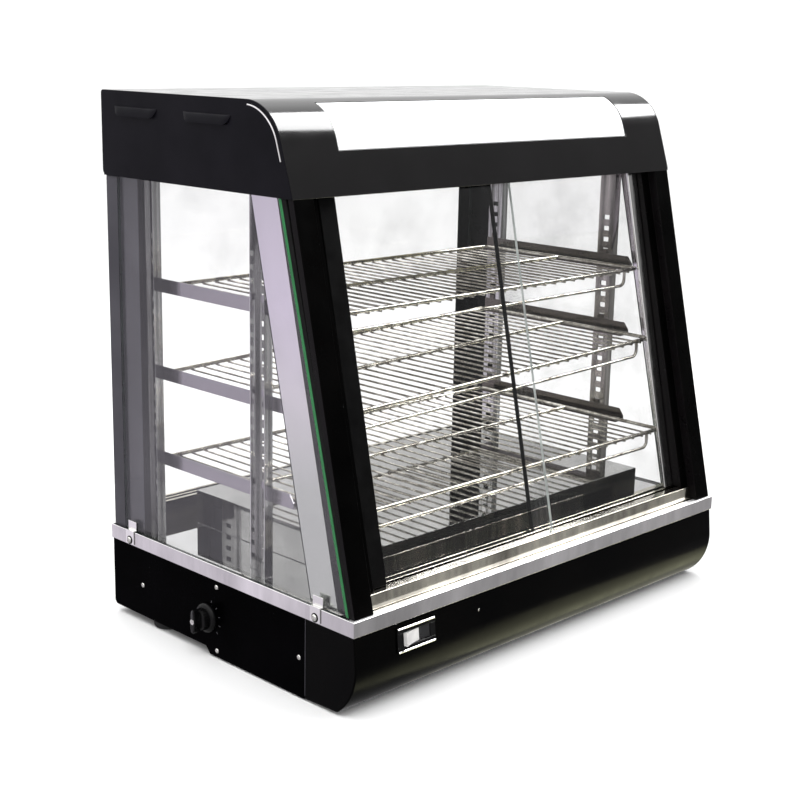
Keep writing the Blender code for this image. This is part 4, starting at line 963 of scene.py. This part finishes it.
def wire_shelf(level):
    """Frame rod, middle rod, lower front rod and the wires welded under them."""
    low, high = box_of(f"wire_shelf_{level}")
    ledge, half = 0.0014, 0.285
    ledges = [box_of(f"shelf_bracket_{level}_{word}")[0].z + ledge for word in SIDES]
    front_y, back_y = low.y + ROD_R, high.y - ROD_R
    tilt = atan2(ledges[1] - ledges[0], 2 * half)
    place = Matrix.Translation((0, 0, sum(ledges) / 2 + ROD_R + 2 * GAP)) @ Matrix.Rotation(-tilt, 4, "Y")
    bm = bmesh.new()
    frame_corners = [(-half, front_y, 0), (half, front_y, 0), (half, back_y, 0), (-half, back_y, 0)]
    sweep(bm, rounded(frame_corners, 0.006, 6, closed=True), ROD_R, 16, closed=True)
    middle = (front_y + back_y) / 2
    sweep(bm, [(-half, middle, 0), (half, middle, 0)], ROD_R * 0.96, 16)
    left, right = (-LIP_HALF_W, front_y), (LIP_HALF_W, front_y)
    lip = [(*left, 0), (*left, -LIP_DROP), (*right, -LIP_DROP), (*right, 0)]
    sweep(bm, rounded(lip, 0.008, 8), ROD_R * 0.8, 14)
    for i in range(WIRE_COUNT):
        x = WIRE_PITCH * (i - (WIRE_COUNT - 1) / 2)
        z = -ROD_R - WIRE_R * 0.55
        sweep(bm, [(x, front_y - 0.0012, z), (x, back_y + 0.0012, z)], WIRE_R, 10)
        for y in (front_y, middle, back_y):
            weld = Matrix.Translation((x, y, -ROD_R * 0.9))
            bmesh.ops.create_uvsphere(bm, u_segments=8, v_segments=6, radius=WIRE_R * 1.15, matrix=weld)
    bm.transform(place)
    piece(f"wire_shelf_{level}_rods", bm, "wire", stands_for=f"wire_shelf_{level}", angle=60)


def heater():
    """The heating tube, one loop with both its ends turned down on the right."""
    low, high = box_of("heating_element")
    r = 0.004
    x, z = high.x - r, high.z - r
    front, back = low.y + r, high.y - r
    corners = [(x, back, low.z), (x, back, z), (-x, back, z)]
    corners += [(-x, front, z), (x, front, z), (x, front, low.z)]
    tube = drawn(sweep, rounded(corners, 0.012, 10), r, 20)
    piece("heater_tube", tube, "heater", stands_for="heating_element", angle=60)


GLASS_TOP_Y, GLASS_TOP_Z = -0.096, 0.544  # a point on the sloping front edge of the side panes
EDGE_W, EDGE_LAP = 0.0042, 0.0001
PANE = 0.004
TRIM_LEAN = 0.232


def glass_edges():
    """The green front edge of each side pane, and the black seal in front of it."""
    for word, side in SIDES.items():
        low, high = box_of(f"side_glass_{word}")
        slope = (GLASS_TOP_Y - low.y) / (GLASS_TOP_Z - low.z)
        bottom, top = BAND_HIGH.z + 0.0006, HOOD_LOW - GAP

        def strip(start_low, start_top, end):
            ends = ((start_low, bottom), (end, bottom), (end, top), (start_top, top))
            return [(GLASS_TOP_Y - slope * (GLASS_TOP_Z - z) + y, z) for y, z in ends]

        green, wrap = strip(-EDGE_LAP, -EDGE_LAP, EDGE_W), (low.x - EDGE_LAP, high.x + EDGE_LAP)
        plate(f"pane_edge_{word}", green, *wrap, "X", "glass_edge", slot="glass", bevel=0.0003)
        seal, outer = strip(-0.0052, -0.0075, -GAP), high.x - 0.0002 * (side > 0)
        plate(f"front_seal_{word}", seal, low.x, outer, "X", "seal", slot="rubber", bevel=0.0004)


def trim_dark_strips():
    """A thin dark strip along the rear edge of each side pane's trim strip."""
    for word in SIDES:
        low, high = box_of(f"front_trim_{word}")
        drop = TRIM_LEAN * (high.z - low.z)
        start, end = high.y + GAP, high.y + GAP + 0.0011
        outline = [(start - drop, low.z), (end - drop, low.z), (end, high.z), (start, high.z)]
        options = {"slot": "rubber", "bevel": 0.0001}
        plate(f"trim_dark_strip_{word}", outline, low.x, high.x, "X", "seal", **options)


def meeting_edge():
    """The black channel on the right front pane's meeting edge."""
    (low, high), (_, rail) = box_of("front_door_glass_right"), box_of("front_sill")
    slope = (high.y - low.y - PANE) / (high.z - low.z)
    bottom, top = rail.z + 0.001, HOOD_LOW + 0.001
    wall, wrap = 0.0004, 0.0005
    rows = [(low.y + slope * (z - low.z), z) for z in (bottom, top)]
    bm = bmesh.new()
    for y0, y1, x0, x1 in (
        (-wall - GAP, PANE + wall + GAP, low.x - GAP - wall, low.x - GAP),
        (-wall - GAP, -GAP, low.x - GAP, low.x + wrap),
        (PANE + GAP, PANE + wall + GAP, low.x - GAP, low.x + wrap),
    ):
        outline = [(y + y0, z) for y, z in rows] + [(y + y1, z) for y, z in reversed(rows)]
        prism(bm, outline, x0, x1, "X")
    piece("meeting_edge", bm, "seal", "front_door_right", slot="rubber")


# ---- floor, light, camera

AIM_POINT = Vector((0, 0, 0.4))
CAMERA_TURN = (45.38, 13.72, 1.19)  # heading, pitch and roll, in degrees
CAMERA_PLACE = Vector((-1.3205, -1.2543, 0.7028))
CAMERA_LENS = 66.55


def studio():
    """A pale floor that curves up into a backdrop, soft light, and a room of tones to reflect."""
    near, far, half, bend, height = -3.0, 3.2, 6.0, 1.5, 5.0
    turns = [pi / 2 * i / 16 for i in range(1, 17)]
    section = [(near, 0.0), (far, 0.0)]
    section += [(far + bend * sin(a), bend - bend * cos(a)) for a in turns]
    section.append((far + bend, height))
    bm = bmesh.new()
    grid(bm, [[(x, y, z) for x in (-half, half)] for y, z in section])
    mesh = bpy.data.meshes.new("backdrop")
    bm.transform(Matrix.Rotation(radians(-45), 4, "Z"))
    bm.to_mesh(mesh)
    bm.free()
    mesh.shade_smooth()
    look = Look("backdrop", (0.93, 0.93, 0.93), 0.9, Specular_IOR_Level=0.1)
    mesh.materials.append(look.material)
    backdrop = linked("backdrop", mesh)
    backdrop.visible_glossy = False
    surroundings()
    softbox("key", -150, 58, 3.0, (2.2, 1.6), 4.5)
    softbox("fill", -50, 45, 3.0, (2.0, 1.6), 2.5)
    softbox("back", 60, 60, 3.0, (2.6, 1.8), 3.0)
    softbox("gleam", -17, 44, 6.0, (3.4, 3.0), 17, shine=True)
    olive = (1.0, 1.0, 0.63)
    softbox("floor_glow", -20, -43, 4.0, (2.2, 1.5), 1.9, shine=True, tint=olive)
    softbox("floor_edge", 8, -40, 4.0, (2.6, 1.2), 0.4, shine=True, tint=olive)


def surroundings():
    """What metal and paint reflect: lighter behind the cabinet, darker in front, bright above."""
    world = bpy.data.worlds.new("studio")
    bpy.context.scene.world = world
    world.use_nodes = True
    nodes = Nodes(world.node_tree)
    direction = nodes.node("ShaderNodeTexCoord").outputs["Generated"]
    height = nodes.dot(direction, (0, 0, 1))
    depth = nodes.spread(height, 0.0, 1.0, -1.0, 0.0)
    behind = radians(127)
    side = nodes.dot(direction, (cos(behind), sin(behind), 0))

    def tones(fac, *stops):
        """A ramp through stops of place, brightness and, where it isn't grey, tint."""
        return nodes.ramp(fac, *((at, Vector(*tint or [(1, 1, 1)]) * v) for at, v, *tint in stops))

    lilac = (1.0, 0.94, 1.05)
    below_front = tones(depth, (0.4, 0.3), (0.75, 0.42), (1.0, 0.16))
    below_back = tones(depth, (0.3, 0.5), (0.72, 0.85, lilac), (0.88, 0.68, lilac), (1.0, 0.28))
    below = nodes.mix_colour(nodes.spread(side, 0.0, 1.0, -1.0, 1.0), below_front, below_back)
    above_front = tones(height, (0.0, 0.14), (0.3, 0.3), (0.5, 0.5), (1.0, 0.8))
    above_back = tones(height, (0.0, 1.1), (0.3, 1.15), (0.55, 1.6), (0.75, 2.6), (1.0, 1.2))
    above = nodes.mix_colour(nodes.spread(side, 0.0, 1.0, -0.7, 0.0), above_front, above_back)
    room = nodes.mix_colour(nodes.spread(height, 0.0, 1.0, -0.02, 0.02), below, above)
    ray = nodes.node("ShaderNodeLightPath").outputs
    seen = nodes.mix_colour(ray["Is Glossy Ray"], (0.955, 0.955, 0.955, 1), room)
    seen = nodes.mix_colour(ray["Is Camera Ray"], seen, (1, 1, 1, 1))
    nodes.feed(nodes.tree.nodes["Background"].inputs["Color"], seen)


def softbox(name, azimuth, elevation, distance, size, radiance, shine=False, tint=(1, 1, 1)):
    """A rectangular light; it either lights surfaces or only shows in reflections."""
    data = bpy.data.lights.new(name, "AREA")
    data.shape = "RECTANGLE"
    data.size, data.size_y = size
    data.color = tint
    data.energy = radiance * pi * size[0] * size[1]
    light = linked(name, data)
    turn, rise = radians(azimuth), radians(elevation)
    aim = Vector((cos(turn) * cos(rise), sin(turn) * cos(rise), sin(rise)))
    light.location = BASE + AIM_POINT + aim * distance
    light.rotation_euler = aim.to_track_quat("Z", "Y").to_euler()
    light.visible_glossy = shine
    light.visible_diffuse = not shine
    light.visible_camera = False


def camera():
    """The camera stands to the left of the front, a little above the cabinet."""
    heading, pitch, roll = (radians(angle) for angle in CAMERA_TURN)
    level = Vector((sin(heading), cos(heading), 0))
    forward = level * cos(pitch) - Vector((0, 0, sin(pitch)))
    right = Vector((cos(heading), -sin(heading), 0))
    up = right.cross(forward)
    rolled = right * cos(roll) + up * sin(roll), up * cos(roll) - right * sin(roll)
    data = bpy.data.cameras.new("camera")
    data.lens = CAMERA_LENS
    view = linked("camera", data)
    view.matrix_world = Matrix((*rolled, -forward)).transposed().to_4x4()
    view.location = BASE + CAMERA_PLACE
    scene = bpy.context.scene
    scene.camera = view
    scene.view_settings.view_transform = "Standard"
    scene.cycles.transparent_max_bounces = 48


# ---- assembly

# The CAD nodes that are shown themselves, by their look and the width of their rounded edges.
for look, width, nodes in (
    ("band", 0.0009, "trim_band"),
    ("floor", 0.0003, "chamber_floor"),
    ("sill", 0.0006, "front_sill rear_sill"),
    ("sill", 0.0004, "hood_ceiling"),
    ("deck", 0.0008, "heat_deck"),
    ("heater", 0.0008, "thermostat_body"),
    ("paint", 0.0004, "base_side_left base_side_right"),
    ("paint", 0.0003, "base_back bottom_plate"),
    # The corner posts carry painted light and shade on their faces, by face direction.
    ("post_paint", 0.0008, "front_post_left front_post_right"),
    ("post_paint", 0.0005, "rear_post_right"),
    ("lit_side_paint", 0.0005, "rear_post_left"),
    ("trim", 0.0003, "front_trim_left front_trim_right"),
    ("clip", 0.0002, "glass_clip_front_left glass_clip_front_right"),
    ("clip", 0.0002, "glass_clip_rear_left glass_clip_rear_right"),
    ("side_glass", 0.0004, "side_glass_left"),
    ("dimmer_side_glass", 0.0004, "side_glass_right"),
    ("lit_edge_door_glass", 0.0003, "front_door_glass_left"),
    ("door_glass", 0.0003, "front_door_glass_right"),
    ("rear_glass", 0.0003, "rear_door_glass_left rear_door_glass_right"),
    ("pull", 0.0005, "front_door_pull_left rear_door_pull_left rear_door_pull_right"),
    ("clip", 0.0005, "front_door_pull_right"),
    ("lit_upright", 0.0002, "upright_front_left upright_rear_left upright_rear_right"),
    ("upright", 0.0002, "upright_front_right"),
    ("upright", 0.0003, "water_tray"),
    ("lit_bracket", 0.0003, "shelf_bracket_top_left shelf_bracket_middle_left shelf_bracket_bottom_left"),
    ("bracket", 0.0003, "shelf_bracket_top_right shelf_bracket_middle_right shelf_bracket_bottom_right"),
):
    for node in nodes.split():
        finish_cad(node, look, width)

hood_cover()
for word, side in SIDES.items():
    hood_side(side, word)
sign_panel()
lamp()
fascia()
switch()
knob()
dial_marks()
feet()
base_screws()
clip_screws()
cord()
for level in ("top", "middle", "bottom"):
    wire_shelf(level)
heater()
glass_edges()
meeting_edge()
trim_dark_strips()
studio()
camera()
